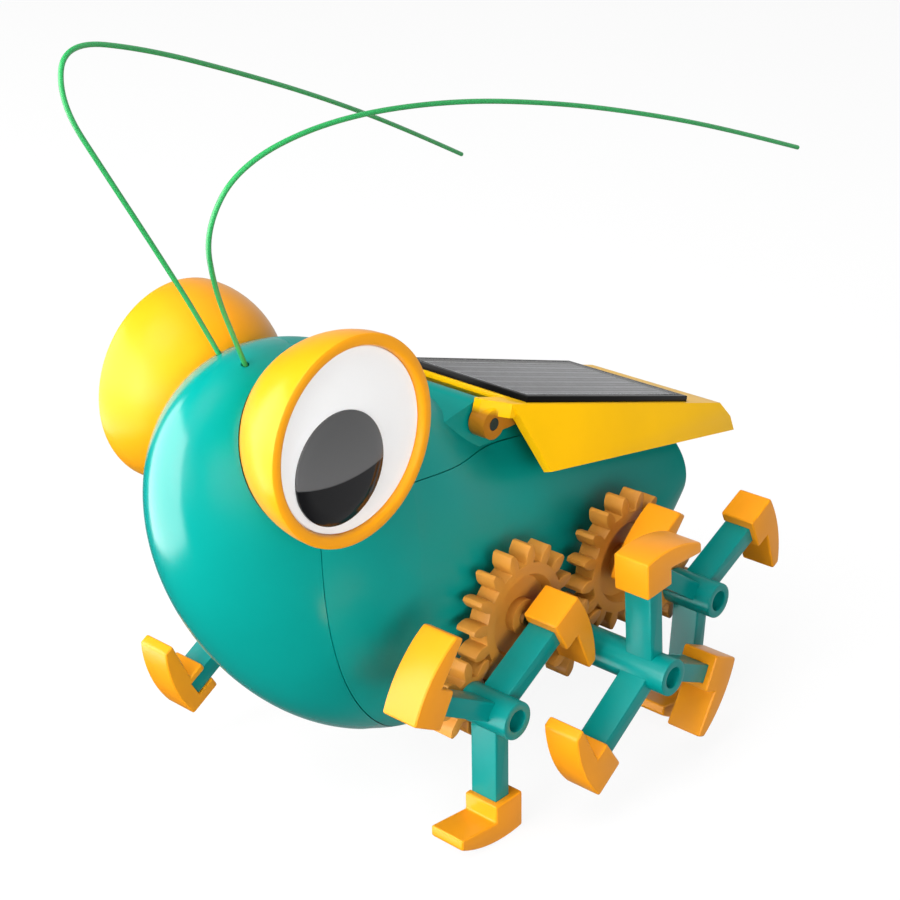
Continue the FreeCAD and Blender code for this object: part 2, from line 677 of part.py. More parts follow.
def leg_spider(name, side, offset, y, phase):
    """Hub tube with three arms, and an open socket in its tip."""
    body = doc.addObject("PartDesign::Body", name)
    hub = new_sketch(body, name + "_hub", f"{side} * pinion_outer_face")
    add_circle(hub, "hub_radius")
    pad(body, hub, name + "_hub_pad", f"{offset} + hub_tip - pinion_outer_face", side < 0)
    arm = new_sketch(body, name + "_arm", f"{side} * ({offset} - arm_inner_side)")
    add_outline(arm, [(0, "-arm_width / 2"), ("arm_reach", "-arm_width / 2"), ("arm_reach", "arm_width / 2"),
                      (0, "arm_width / 2")])
    arm_pad = pad(body, arm, name + "_arm_pad", "arm_inner_side + arm_outer_side", side < 0)
    around(body, arm, [arm_pad], name + "_arms", 3)
    bore = new_sketch(body, name + "_bore")
    add_circle(bore, "axle_radius + press_fit")
    pocket(body, bore, name + "_bore_cut")
    socket = new_sketch(body, name + "_socket", f"{side} * ({offset} + hub_tip)")
    add_circle(socket, "hub_socket_radius")
    body.Tip = pocket(body, socket, name + "_socket_cut", "hub_socket_depth", side < 0)
    return node(wheel_place(body, y, "foot_radius", phase), name)


def foot_set(name, side, offset, y, phase):
    """Three feet of one leg wheel, each a block with a toe and a sole that is round about the axle."""
    body = doc.addObject("PartDesign::Body", name)
    outline = new_sketch(body, name + "_outline", f"{side} * ({offset} - foot_width / 2)")
    add_outline(outline, [
        ("foot_radius + 1", "foot_heel"), ("foot_top", "foot_heel"), ("foot_top", "-foot_front"),
        ("foot_toe_root", "-foot_front"), ("foot_toe_top", "-foot_toe_reach"),
        ("foot_radius + 1", "-foot_toe_reach"),
    ])
    foot = pad(body, outline, name + "_foot_pad", "foot_width", side < 0)
    mortise = new_sketch(body, name + "_mortise", f"{side} * ({offset} + arm_outer_side + tenon_fit)")
    half = "arm_width / 2 + tenon_fit"
    add_outline(mortise, [("foot_top - 1", f"-({half})"), ("arm_reach + tenon_fit", f"-({half})"),
                          ("arm_reach + tenon_fit", half), ("foot_top - 1", half)])
    cut_out = pocket(body, mortise, name + "_mortise_cut", "foot_width", side < 0)
    around(body, mortise, [foot, cut_out], name + "_feet", 3)
    sole = new_sketch(body, name + "_sole")
    add_circle(sole, "foot_radius")
    add_circle(sole, "2 * foot_radius")
    body.Tip = pocket(body, sole, name + "_sole_cut")
    return node(wheel_place(body, y, "foot_radius", phase), name)


LEGS = {
    "front": ("outer_leg_offset", s.front_leg_phase, front_pinion_phase),
    "middle": ("middle_leg_offset", s.middle_leg_phase, middle_pinion_phase),
    "rear": ("outer_leg_offset", s.rear_leg_phase, rear_pinion_phase),
}
for leg, (offset, phase, pinion_phase) in LEGS.items():
    y = f"{leg}_axle_y"
    end = f"({offset} + hub_tip - hub_socket_depth)"
    node(rod(f"leg_axle_{leg}", "axle_radius", f"-{end}", end, y, "foot_radius"), f"leg_axle_{leg}")
    for side_name, side in SIDES.items():
        leg_phase = phase + (0 if side > 0 else s.side_phase)
        leg_spider(f"leg_spider_{leg}_{side_name}", side, offset, y, leg_phase)
        foot_set(f"feet_{leg}_{side_name}", side, offset, y, leg_phase)
        pinion = spur_gear(f"leg_pinion_{leg}_{side_name}", s.gear_module, int(s.leg_pinion_teeth),
                           s.tooth_play, s.tooth_height_share, f"{side} * pinion_inner_face",
                           "pinion_outer_face - pinion_inner_face", "axle_radius + press_fit", side < 0)
        node(wheel_place(pinion, y, "foot_radius", pinion_phase), f"leg_pinion_{leg}_{side_name}")

# --- wing with the solar panel -----------------------------------------------------------------


def on_wing(thing):
    """Place something drawn in the wing's own frame: Y runs back along it and Z stands up from it."""
    return place(thing, 0, "wing_y", "wing_z", Rotation(Vector(1, 0, 0), -s.wing_tilt))


deck = doc.addObject("PartDesign::Body", "deck")
deck_side = new_sketch(deck, "deck_side", "-wing_half_width", "YZ_Plane")
add_outline(deck_side, [
    (0, 0), ("wing_length", 0), ("wing_tail_corner", "-wing_tail_corner_drop"),
    ("wing_tail_reach", "-wing_skirt_rear_depth"), ("wing_tail_reach - wing_plate", "-wing_skirt_rear_depth"),
    ("wing_tail_corner - wing_plate", "-wing_tail_corner_drop - wing_plate / 2"),
    ("wing_length - wing_plate / 2", "-wing_plate"), (0, "-wing_plate"),
])
deck.Tip = pad(deck, deck_side, "deck_pad", "2 * wing_half_width")
deck_pieces = [deck]
for side in (1, -1):
    skirt = doc.addObject("PartDesign::Body", "skirt")
    skirt_side = new_sketch(skirt, "skirt_side", 0, "YZ_Plane")
    add_outline(skirt_side, [(0, 0), ("wing_length", 0), ("wing_tail_corner", "-wing_tail_corner_drop"),
                             ("wing_tail_reach", "-wing_skirt_rear_depth"),
                             ("wing_skirt_front", "-wing_skirt_depth")])
    skirt.Tip = pad(skirt, skirt_side, "skirt_pad", "wing_skirt_wall", side > 0)
    place(skirt, f"{side} * wing_half_width", 0, 0, Rotation(Vector(0, 1, 0), -side * s.wing_skirt_lean))
    deck_pieces.append(skirt)
tray_bed = block("tray_bed", "-(tray_half_width + tray_fit)", "tray_half_width + tray_fit",
                 "tray_start - tray_fit", "tray_start + tray_length + tray_fit", "-tray_sink", "tray_height")
front_cut = doc.addObject("PartDesign::Body", "front_cut")
front_side = new_sketch(front_cut, "front_side", "-hinge_lug_inner", "YZ_Plane")
add_outline(front_side, [
    (-1, 1), ("wing_front_cut", 1), ("wing_front_cut", "-wing_front_edge"),
    ("wing_front_cut + wing_front_slope", "-wing_plate"),
    ("wing_front_cut + wing_front_slope", "-wing_plate - 1"),
    (-1, "-wing_plate - 1"),
])
front_cut.Tip = pad(front_cut, front_side, "front_cut_pad", "2 * hinge_lug_inner")
wing_deck = on_wing(cut("wing_deck", fuse("deck_with_skirts", *deck_pieces), tray_bed, front_cut))
lugs = []
hinge_pins = []
for side in (1, -1):
    inner = f"{side} * hinge_lug_inner"
    outer = f"{side} * hinge_lug_outer"
    low, high = (inner, outer) if side > 0 else (outer, inner)
    lugs.append(rod("lug_eye", "hinge_lug_radius", low, high, "hinge_y", "hinge_z"))
    lugs.append(block("lug_bar", low, high, "hinge_y", "hinge_y + hinge_lug_reach", "hinge_z - hinge_lug_base",
                      "hinge_z + hinge_lug_top"))
    tab = doc.addObject("PartDesign::Body", "tab")
    tab_top = new_sketch(tab, "tab_top", "-wing_tab_depth", "XY_Plane")
    add_outline(tab_top, [
        (inner, 1), (inner, "-wing_tab_reach"),
        (f"{side} * (hinge_lug_inner + wing_tab_width)", "-wing_tab_reach"),
        (f"{side} * wing_half_width", 0), (f"{side} * wing_half_width", 1),
    ])
    tab.Tip = pad(tab, tab_top, "tab_pad", "wing_tab_depth")
    lugs.append(on_wing(tab))
    inner = f"{side} * (hinge_barrel_half - hinge_pin_hold)"
    low, high = (inner, outer) if side > 0 else (outer, inner)
    hinge_pins.append(rod("hinge_pin", "hinge_pin_radius", low, high, "hinge_y", "hinge_z"))
lug_bore = rod("lug_bore", "hinge_pin_radius + axle_fit", -20, 20, "hinge_y", "hinge_z")
node(cut("wing", fuse("wing_with_lugs", wing_deck, *lugs), lug_bore), "wing_frame")
node(fuse("hinge_pins", *hinge_pins), "wing_hinge_pins")


def panel_slab(name, inset, low, high):
    """Flat slab inside the tray's outline, between two heights above the wing."""
    body = doc.addObject("PartDesign::Body", name)
    outline = new_sketch(body, name + "_outline", low)
    half, front = f"tray_half_width - ({inset})", f"tray_start + {inset}"
    back = f"tray_start + tray_length - ({inset})"
    add_outline(outline, [(f"-({half})", front), (half, front), (half, back), (f"-({half})", back)])
    body.Tip = pad(body, outline, name + "_pad", f"({high}) - ({low})")
    return node(on_wing(body), name)


tray_top = "tray_height - tray_sink"
cell_low = "tray_floor - tray_sink"
tray = panel_slab("solar_tray", "0", "-tray_sink", tray_top)
well = new_sketch(tray, "well", tray_top)
add_outline(well, [("-(tray_half_width - tray_rim)", "tray_start + tray_rim"),
                   ("tray_half_width - tray_rim", "tray_start + tray_rim"),
                   ("tray_half_width - tray_rim", "tray_start + tray_length - tray_rim"),
                   ("-(tray_half_width - tray_rim)", "tray_start + tray_length - tray_rim")])
tray.Tip = pocket(tray, well, "well_cut", "tray_height - tray_floor")
panel_slab("solar_cell", "tray_rim + tray_fit", cell_low, f"{cell_low} + cell_thickness")
panel_slab("solar_window", "tray_rim + tray_fit", f"{cell_low} + cell_thickness", tray_top)

# --- gearbox -------------------------------------------------------------------------------------

spacer_spots = [("front_axle_y - 1.5", "foot_radius + 6.75"), ("rear_idler_y - 1.5", "plate_top - 2.2"),
                ("rear_idler_y + 5.5", "foot_radius + 3.75")]
mount_spots = [("motor_y - mount_screw_spread", "motor_z - mount_screw_drop"),
               ("motor_y + mount_screw_spread", "motor_z - mount_screw_drop")]
for side_name, side in SIDES.items():
    plate = doc.addObject("PartDesign::Body", "plate_" + side_name)
    outline = new_sketch(plate, "plate_outline", f"{side} * plate_inner_face", "YZ_Plane")
    bottom = "foot_radius - plate_margin"
    add_outline(outline, [
        ("front_axle_y - plate_margin", bottom), ("rear_axle_y + plate_margin", bottom),
        ("rear_axle_y + plate_margin", "plate_end_top"), ("rear_idler_y + plate_shoulder", "plate_top"),
        ("front_idler_y - plate_shoulder", "plate_top"), ("front_axle_y - plate_margin", "plate_end_top"),
    ])
    pad(plate, outline, "plate_pad", "plate_thickness", side < 0)
    drilling = new_sketch(plate, "plate_holes", 0, "YZ_Plane")
    for y, z in axle_spots:
        add_circle(drilling, "axle_radius + axle_fit", y, z)
    add_circle(drilling, "compound_pin_radius + press_fit", "compound_y", "compound_z")
    for y, z in spacer_spots + (mount_spots if side < 0 else []):
        add_circle(drilling, "screw_radius + axle_fit", y, z)
    pocket(plate, drilling, "plate_drilling")
    notch = new_sketch(plate, "plate_notch", 0, "YZ_Plane")
    low, high = "compound_y + plate_notch_start", "compound_y + plate_notch_start + plate_notch_width"
    floor = "compound_z + plate_notch_floor"
    add_outline(notch, [(low, floor), (high, floor), (high, "plate_top + 1"), (low, "plate_top + 1")])
    plate.Tip = pocket(plate, notch, "plate_notch_cut")
    node(plate, "gearbox_plate_" + side_name)

spacer_bars = [rod("spacer_bar", "spacer_radius", "-plate_inner_face", "plate_inner_face", y, z)
               for y, z in spacer_spots]
spacer_bores = [rod("spacer_bore", "screw_radius + press_fit", "-plate_inner_face", "plate_inner_face", y, z)
                for y, z in spacer_spots]
node(cut("spacers", fuse("spacer_bars", *spacer_bars), *spacer_bores), "gearbox_spacers")

screws = []
for side in (1, -1):
    for y, z in spacer_spots + (mount_spots if side < 0 else []):
        ends = ["plate_outer_face - plate_thickness - screw_depth", "plate_outer_face",
                "plate_outer_face + screw_head_height"]
        low, middle, high = [f"{side} * ({end})" for end in ends]
        screws.append(rod("shank", "screw_radius", *((low, middle) if side > 0 else (middle, low)), y, z))
        head_ends = (middle, high) if side > 0 else (high, middle)
        screws.append(rod("screw_head", "screw_head_radius", *head_ends, y, z))
node(fuse("screws", *screws), "gearbox_screws")

compound_axis = ("compound_y", "compound_z")
node(rod("compound_pin", "compound_pin_radius", "-plate_outer_face", "plate_outer_face", *compound_axis),
     "compound_pin")

front_idler_to_compound = s.compound_rise
drive_phase = 0.0
compound_pinion_phase = meshed_phase(drive_phase, s.drive_teeth, front_idler_to_compound, s.fine_pinion_teeth)
big_phase = 0.0
motor_pinion_phase = meshed_phase(big_phase, s.big_teeth, s.motor_rise, s.fine_pinion_teeth)

drive = spur_gear("drive", s.fine_module, int(s.drive_teeth), s.fine_play, 0.9, "drive_gear_face",
                  "drive_gear_width", "axle_radius + press_fit")
node(wheel_place(drive, "front_idler_y", "idler_z", drive_phase), "drive_gear")

big = spur_gear("big", s.fine_module, int(s.big_teeth), s.fine_play, 0.9, "big_gear_face", "big_gear_width",
                "compound_pin_radius + axle_fit")
wheel_place(big, *compound_axis, big_phase)
small = spur_gear("small", s.fine_module, int(s.fine_pinion_teeth), s.fine_play, 0.9,
                  "big_gear_face + big_gear_width",
                  "drive_gear_face + drive_gear_width - big_gear_face - big_gear_width",
                  "compound_pin_radius + axle_fit")
wheel_place(small, *compound_axis, compound_pinion_phase)
hub = rod("compound_hub", "compound_hub_radius", "gear_side_gap - plate_inner_face", "big_gear_face",
          *compound_axis)
hub_bore = rod("compound_hub_bore", "compound_pin_radius + axle_fit", "-plate_inner_face", "plate_inner_face",
               *compound_axis)
node(fuse("compound", big, small, cut("hub_tube", hub, hub_bore)), "compound_gear")

# --- motor ---------------------------------------------------------------------------------------

motor_axis = ("motor_y", "motor_z")
shaft_bore = rod("shaft_bore", "motor_shaft_radius + axle_fit", "motor_back", "motor_face + motor_boss_height",
                 *motor_axis)
can_body = rod("can_body", "motor_radius", "can_back", "motor_face", *motor_axis)
can_boss = rod("can_boss", "motor_boss_radius", "motor_face", "motor_face + motor_boss_height", *motor_axis)
can_inside = rod("can_inside", "motor_radius - motor_can_wall", "can_back", "motor_face - motor_can_wall",
                 *motor_axis)
node(cut("can", fuse("can_with_boss", can_body, can_boss), can_inside, shaft_bore), "motor_can")
cap_disc = rod("cap_disc", "motor_radius", "motor_back", "can_back", *motor_axis)
node(cut("cap", cap_disc, shaft_bore), "motor_end_cap")
terminals = [block("terminal", "motor_back - terminal_height", "motor_back", f"motor_y + {side} * terminal_spread - "
                   "terminal_width / 2", f"motor_y + {side} * terminal_spread + terminal_width / 2",
                   "motor_z - terminal_width / 4", "motor_z + terminal_width / 4") for side in (1, -1)]
node(fuse("terminals", *terminals), "motor_terminals")
shaft = rod("shaft", "motor_shaft_radius", "motor_back", "motor_pinion_face + motor_pinion_width", *motor_axis)
drum = rod("drum", "armature_radius", "can_back + armature_gap", "can_back + armature_gap + armature_length",
           *motor_axis)
node(fuse("armature", shaft, drum), "motor_armature")
motor_pinion = spur_gear("motor_pinion", s.fine_module, int(s.fine_pinion_teeth), s.fine_play, 0.9,
                         "motor_pinion_face",
                         "motor_pinion_width", "motor_shaft_radius + press_fit")
node(wheel_place(motor_pinion, *motor_axis, motor_pinion_phase), "motor_pinion")

mount_end = "collar_length - plate_inner_face"
collar = rod("collar", "motor_radius + tenon_fit + collar_wall", "-plate_inner_face", mount_end, *motor_axis)
mount_foot = block("mount_foot", "-plate_inner_face", mount_end, "motor_y - mount_half_width",
                   "motor_y + mount_half_width", "motor_z - motor_radius - mount_foot", "motor_z - mount_half_width")
mount_bore = rod("mount_bore", "motor_radius + tenon_fit", "-plate_inner_face", mount_end, *motor_axis)
mount_holes = [rod("mount_hole", "screw_radius + press_fit", "-plate_inner_face",
                   "screw_depth - plate_inner_face", y, z)
               for y, z in mount_spots]
node(cut("mount", fuse("collar_on_foot", collar, mount_foot), mount_bore, *mount_holes), "motor_mount")

# --- check and export ------------------------------------------------------------------------------

doc.recompute()
faults = [f"{thing.Label}: {thing.State}" for thing in doc.Objects if {"Invalid", "Error"} & set(thing.State)]
for name, thing in nodes.items():
    shape = thing.Shape
    if shape.isNull() or not shape.isValid() or not shape.Solids:
        faults.append(f"{name}: no valid solid")
    else:
        box = shape.BoundBox
        print(f"{name:26} solids {len(shape.Solids):2} volume {shape.Volume:9.2f}  x {box.XMin:7.2f} {box.XMax:7.2f}"
              f"  y {box.YMin:7.2f} {box.YMax:7.2f}  z {box.ZMin:7.2f} {box.ZMax:7.2f}")
if faults:
    raise RuntimeError("\n".join(faults))
os.makedirs("parts", exist_ok=True)
for name, thing in nodes.items():
    thing.Shape.exportStep(f"parts/{name}.step")
print(len(nodes), "pieces written")
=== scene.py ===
"""Looks of the six-legged solar walking bug, laid out as an add-on and run as a script."""
import json
import math

import bpy
from bpy.props import FloatProperty, FloatVectorProperty, IntProperty, PointerProperty
from mathutils import Matrix, Vector


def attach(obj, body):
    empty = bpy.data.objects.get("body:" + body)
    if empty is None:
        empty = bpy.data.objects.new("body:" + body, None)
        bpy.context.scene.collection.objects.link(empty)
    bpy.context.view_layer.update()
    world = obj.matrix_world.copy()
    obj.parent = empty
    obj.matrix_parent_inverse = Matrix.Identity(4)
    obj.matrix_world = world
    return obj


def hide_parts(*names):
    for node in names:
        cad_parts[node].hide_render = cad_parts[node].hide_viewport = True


bl_info = {
    "name": "Solar Walking Bug",
    "version": (1, 0, 0),
    "blender": (4, 5, 0),
    "location": "View3D > Sidebar > Walking Bug",
    "description": "Builds the visible pieces of a six-legged solar walking bug around its frame",
    "category": "Add Mesh",
}

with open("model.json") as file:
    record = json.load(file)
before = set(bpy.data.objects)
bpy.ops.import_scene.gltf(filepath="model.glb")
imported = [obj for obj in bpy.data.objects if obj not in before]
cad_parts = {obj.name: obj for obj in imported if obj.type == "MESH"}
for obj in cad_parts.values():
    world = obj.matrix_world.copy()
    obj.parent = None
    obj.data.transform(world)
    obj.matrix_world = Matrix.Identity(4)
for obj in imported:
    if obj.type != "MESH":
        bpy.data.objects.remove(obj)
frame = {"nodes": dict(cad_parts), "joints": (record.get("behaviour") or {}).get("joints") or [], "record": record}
JOINTS = {joint["name"]: Vector(joint["pos_m"]) for joint in frame["joints"]}
MM = 0.001
SIDES = {"left": 1, "right": -1}


def mm(*points):
    """Points given in millimetres."""
    return [tuple(value * MM for value in point) for point in points]


# Selecting, shaping and finishing ------------------------------------------------------------

def select_only(*pieces):
    """Leave just these pieces selected, the first one active."""
    bpy.ops.object.select_all(action="DESELECT")
    for piece in pieces:
        piece.select_set(True)
    bpy.context.view_layer.objects.active = pieces[0]


def start_edit(piece, select="VERT"):
    """Open a piece in edit mode."""
    select_only(piece)
    bpy.ops.object.mode_set(mode="EDIT")
    bpy.ops.mesh.select_mode(type=select)


def end_edit():
    """Go back to object mode."""
    bpy.ops.object.mode_set(mode="OBJECT")


def pick(piece, kind, test):
    """Select a piece's vertices, edges or polygons by a test on each."""
    mesh = piece.data
    for elements in (mesh.vertices, mesh.edges, mesh.polygons):
        elements.foreach_set("select", [False] * len(elements))
    for element in getattr(mesh, kind):
        element.select = bool(test(element))


def finish_with(piece, kind, **settings):
    """Add a modifier and apply it."""
    select_only(piece)
    modifier = piece.modifiers.new(kind.title(), kind)
    for name, value in settings.items():
        setattr(modifier, name, value)
    bpy.ops.object.modifier_apply(modifier=modifier.name)


def made(name):
    """Name the piece that was just added."""
    piece = bpy.context.object
    piece.name = name
    piece.data.name = name
    return piece


def prism(name, outline, low, high):
    """Solid with a flat outline in XY between two heights."""
    bpy.ops.object.select_all(action="DESELECT")
    bpy.ops.mesh.primitive_circle_add(vertices=len(outline), radius=1, fill_type="NGON")
    piece = made(name)
    for vertex, (x, y) in zip(piece.data.vertices, outline):
        vertex.co = (x, y, low)
    start_edit(piece)
    bpy.ops.mesh.select_all(action="SELECT")
    bpy.ops.mesh.extrude_region_move(TRANSFORM_OT_translate={"value": (0, 0, high - low)})
    bpy.ops.mesh.select_all(action="SELECT")
    bpy.ops.mesh.normals_make_consistent(inside=False)
    end_edit()
    return piece


def drum(name, radius, low, high, vertices=48):
    """Cylinder along Z between two heights."""
    bpy.ops.object.select_all(action="DESELECT")
    bpy.ops.mesh.primitive_cylinder_add(vertices=vertices, radius=radius, depth=high - low,
                                        location=(0, 0, (low + high) / 2))
    piece = made(name)
    settle(piece)
    return piece


def brick(name, low, high):
    """Box between two corners."""
    bpy.ops.object.select_all(action="DESELECT")
    bpy.ops.mesh.primitive_cube_add(size=1, location=(Vector(low) + Vector(high)) / 2)
    piece = made(name)
    piece.scale = Vector(high) - Vector(low)
    settle(piece)
    return piece


def settle(piece):
    """Put a piece's place into its mesh."""
    select_only(piece)
    bpy.ops.object.transform_apply(location=True, rotation=True, scale=True)


def turned(name, profile, segments=64):
    """Solid of revolution about Z from a profile of (radius, height) points."""
    bpy.ops.object.select_all(action="DESELECT")
    bpy.ops.mesh.primitive_circle_add(vertices=len(profile) + 1, radius=1, fill_type="NOTHING")
    piece = made(name)
    mesh = piece.data
    for vertex, (radius, height) in zip(mesh.vertices, profile):
        vertex.co = (radius, 0, height)
    pick(piece, "vertices", lambda vertex: vertex.index == len(profile))
    start_edit(piece)
    bpy.ops.mesh.delete(type="VERT")
    bpy.ops.mesh.select_all(action="SELECT")
    bpy.ops.mesh.spin(steps=segments, angle=2 * math.pi, center=(0, 0, 0), axis=(0, 0, 1))
    bpy.ops.mesh.select_all(action="SELECT")
    bpy.ops.mesh.remove_doubles(threshold=1e-6)
    bpy.ops.mesh.normals_make_consistent(inside=False)
    end_edit()
    return piece


def ease_edges(piece, width, segments=3, angle=30):
    """Round the sharp edges of a piece."""
    start_edit(piece, "EDGE")
    bpy.ops.mesh.select_all(action="DESELECT")
    bpy.ops.mesh.edges_select_sharp(sharpness=math.radians(angle))
    bpy.ops.mesh.bevel(offset=width, segments=segments, profile=0.6, affect="EDGES", clamp_overlap=True)
    end_edit()


def carve(piece, tool, operation="DIFFERENCE"):
    """Cut a tool out of a piece, or join it on, and discard the tool."""
    finish_with(piece, "BOOLEAN", object=tool, operation=operation, solver="EXACT")
    bpy.data.objects.remove(tool)


def smooth(piece, angle=32):
    """Shade a piece smooth, except at edges sharper than an angle."""
    select_only(piece)
    bpy.ops.object.shade_smooth_by_angle(angle=math.radians(angle))


def copied(source, name, matrix):
    """Copy of a piece with its own mesh, moved by a matrix that may mirror it."""
    select_only(source)
    bpy.ops.object.duplicate()
    piece = made(name)
    piece.data.transform(matrix)
    if matrix.determinant() < 0:
        start_edit(piece)
        bpy.ops.mesh.select_all(action="SELECT")
        bpy.ops.mesh.flip_normals()
        end_edit()
    return piece


def finish_piece(piece, material, body, slot, *stands_for):
    """Give a piece its finish, and tie it to the body it moves with."""
    piece.data.materials.clear()
    piece.data.materials.append(material)
    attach(piece, body)
    if stands_for:
        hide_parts(*stands_for)
    return piece


def on_axle(joint, x, phase, side=1):
    """Matrix from a wheel's own frame to its axle: X to +Y, Y to +Z and Z outwards along X."""
    place = JOINTS[joint]
    turn = Matrix.Rotation(math.radians(phase), 4, "X")
    stand = Matrix(((0, 0, side, x), (1, 0, 0, 0), (0, 1, 0, 0), (0, 0, 0, 1)))
    return Matrix.Translation((0, place.y, place.z)) @ turn @ stand


# Finishes ------------------------------------------------------------------------------------

class Tree:
    """Node tree of a material or a world, with short ways to add nodes to it."""

    def __init__(self, owner):
        owner.use_nodes = True
        self.nodes = owner.node_tree.nodes
        self.links = owner.node_tree.links

    def put(self, value, socket):
        """Give a socket a number or a tint, or link an output to it."""
        if isinstance(value, (int, float, tuple)):
            socket.default_value = value
        else:
            self.links.new(value, socket)

    def coordinates(self, kind="Object"):
        """Coordinates of a kind."""
        return self.nodes.new("ShaderNodeTexCoord").outputs[kind]

    def split(self, vector):
        """X, Y and Z of a vector, by name."""
        parts = self.nodes.new("ShaderNodeSeparateXYZ")
        self.put(vector, parts.inputs["Vector"])
        return parts.outputs

    def math(self, operation, *terms, clamp=False):
        """Result of an operation on outputs and numbers."""
        node = self.nodes.new("ShaderNodeMath")
        node.operation = operation
        node.use_clamp = clamp
        for socket, term in zip(node.inputs, terms):
            self.put(term, socket)
        return node.outputs[0]

    def fade(self, value, rate, offset):
        """Share that changes with a value at a rate, kept between 0 and 1."""
        return self.math("MULTIPLY_ADD", value, rate, offset, clamp=True)

    def noise(self, scale, detail=2.0, coordinates=None):
        """Noise on the object coordinates, unless it is given others."""
        texture = self.nodes.new("ShaderNodeTexNoise")
        texture.inputs["Scale"].default_value = scale
        texture.inputs["Detail"].default_value = detail
        if coordinates is None:
            coordinates = self.coordinates()
        self.put(coordinates, texture.inputs["Vector"])
        return texture.outputs["Fac"]

    def between(self, factor, low, high):
        """Value that runs from low to high with a factor."""
        span = self.nodes.new("ShaderNodeMapRange")
        self.put(low, span.inputs["To Min"])
        self.put(high, span.inputs["To Max"])
        self.put(factor, span.inputs["Value"])
        return span.outputs["Result"]

    def tinted(self, factor, dark, light, low=0.35, high=0.65):
        """Colour that runs from one tint to another while a factor goes from low to high."""
        ramp = self.nodes.new("ShaderNodeValToRGB")
        for stop, place, colour in zip(ramp.color_ramp.elements, (low, high), (dark, light)):
            stop.position = place
            stop.color = colour
        self.put(factor, ramp.inputs["Fac"])
        return ramp.outputs["Color"]

    def mixed(self, factor, first, second, blend="MIX"):
        """Colour between two others by a factor."""
        mix = self.nodes.new("ShaderNodeMix")
        mix.data_type = "RGBA"
        mix.blend_type = blend
        self.put(factor, mix.inputs["Factor"])
        self.put(first, mix.inputs[6])
        self.put(second, mix.inputs[7])
        return mix.outputs[2]

    def overlay(self, factor, colour, blend="MIX"):
        """Lay a tint over the finish where a factor says so."""
        base = self.nodes["Principled BSDF"].inputs["Base Color"]
        self.put(self.mixed(factor, base.links[0].from_socket, colour, blend), base)


def new_material(name):
    """Material with its node tree and its shader's inputs."""
    material = bpy.data.materials.new(name)
    tree = Tree(material)
    return material, tree, tree.nodes["Principled BSDF"].inputs


def shade_of(colour, share=1.0):
    """Opaque tint that is a share of a colour."""
    return (*(channel * share for channel in colour[:3]), 1.0)


def grey(level):
    """Opaque grey."""
    return (level, level, level, 1.0)


def moulded(name, colour, roughness=0.3, depth=0.9, grain=0.05, gloss_level=0.35):
    """Moulded plastic: faint flow marks in its colour and a fine moulded skin."""
    material, tree, shader = new_material(name)
    flow = tree.noise(70.0, 3.0)
    tree.put(tree.tinted(flow, shade_of(colour, depth), shade_of(colour)), shader["Base Color"])
    tree.put(tree.between(flow, roughness * 0.85, roughness * 1.15), shader["Roughness"])
    bump = tree.nodes.new("ShaderNodeBump")
    tree.put(grain, bump.inputs["Strength"])
    tree.put(0.05 * MM, bump.inputs["Distance"])
    tree.put(tree.noise(1800.0), bump.inputs["Height"])
    tree.put(bump.outputs["Normal"], shader["Normal"])
    tree.put(gloss_level, shader["Specular IOR Level"])
    return material


def painted_shade_to_tail(material, share):
    """Paint shade into a finish: it darkens evenly from the nose to the tail, for the shade under the wing and
    behind the gears.
    """
    tree = Tree(material)
    # Painted shade that grows from the nose back to the tail.
    along = tree.fade(tree.split(tree.coordinates())["Y"], rate=18.0, offset=0.18)
    tree.overlay(along, grey(share), "MULTIPLY")
    return material


def metal(name, colour, roughness=0.3):
    """Drawn metal with fine marks along X."""
    material, tree, shader = new_material(name)
    stretch = tree.nodes.new("ShaderNodeMapping")
    tree.put((0.08, 1.0, 1.0), stretch.inputs["Scale"])
    tree.put(tree.coordinates(), stretch.inputs["Vector"])
    marks = tree.noise(2600.0, 3.0, stretch.outputs["Vector"])
    tree.put(tree.tinted(marks, shade_of(colour, 0.8), shade_of(colour)), shader["Base Color"])
    tree.put(tree.between(marks, roughness * 0.7, roughness * 1.3), shader["Roughness"])
    tree.put(1.0, shader["Metallic"])
    return material


# The wing's own frame: where it starts, and its slope down towards the tail in degrees.
WING_ORIGIN = (0, 0.4 * MM, 50.0 * MM)
WING_TILT = 16


def wing_place(tree):
    """Place in the wing's own frame in millimetres: X across it, Y back along it, Z up from it."""
    mapping = tree.nodes.new("ShaderNodeMapping")
    mapping.vector_type = "TEXTURE"
    tree.put(WING_ORIGIN, mapping.inputs["Location"])
    tree.put((math.radians(-WING_TILT), 0, 0), mapping.inputs["Rotation"])
    tree.put((MM, MM, MM), mapping.inputs["Scale"])
    tree.put(tree.coordinates(), mapping.inputs["Vector"])
    return tree.split(mapping.outputs["Vector"])


LUGS_HALF_WIDTH = 10.6


def wing_finish():
    """Wing plastic with painted shade, a dull brown on the knuckles and the underside at the hinge."""
    material = moulded("wing_plastic", colours().wing, 0.3, 0.95, 0.02, 0.12)
    tree = Tree(material)
    place = wing_place(tree)
    # Painted shade: low, front and inner places under the hinge take the knuckle shade tint.
    low = tree.fade(place["Z"], rate=-1.2, offset=-1.1)
    front = tree.fade(place["Y"], rate=-0.8, offset=3.4)
    inner = tree.math("LESS_THAN", tree.math("ABSOLUTE", place["X"]), LUGS_HALF_WIDTH)
    painted_hinge_shade = tree.math("MULTIPLY", tree.math("MULTIPLY", low, front), inner)
    tree.overlay(painted_hinge_shade, shade_of(colours().knuckle_shade))
    return material


# Places in Y and Z on the flank: the eye's middle, the pupil's, and the lowest point of the painted reflection's
# edge.
EYE = (-30.0 * MM, 55.2 * MM)
PUPIL = (EYE[0] - 2.0 * MM, EYE[1] - 2.6 * MM)
GLINT = (PUPIL[0], PUPIL[1] - 1.6 * MM)
GLINT_BOW = 22.0
GLINT_SHARPNESS = 6000.0


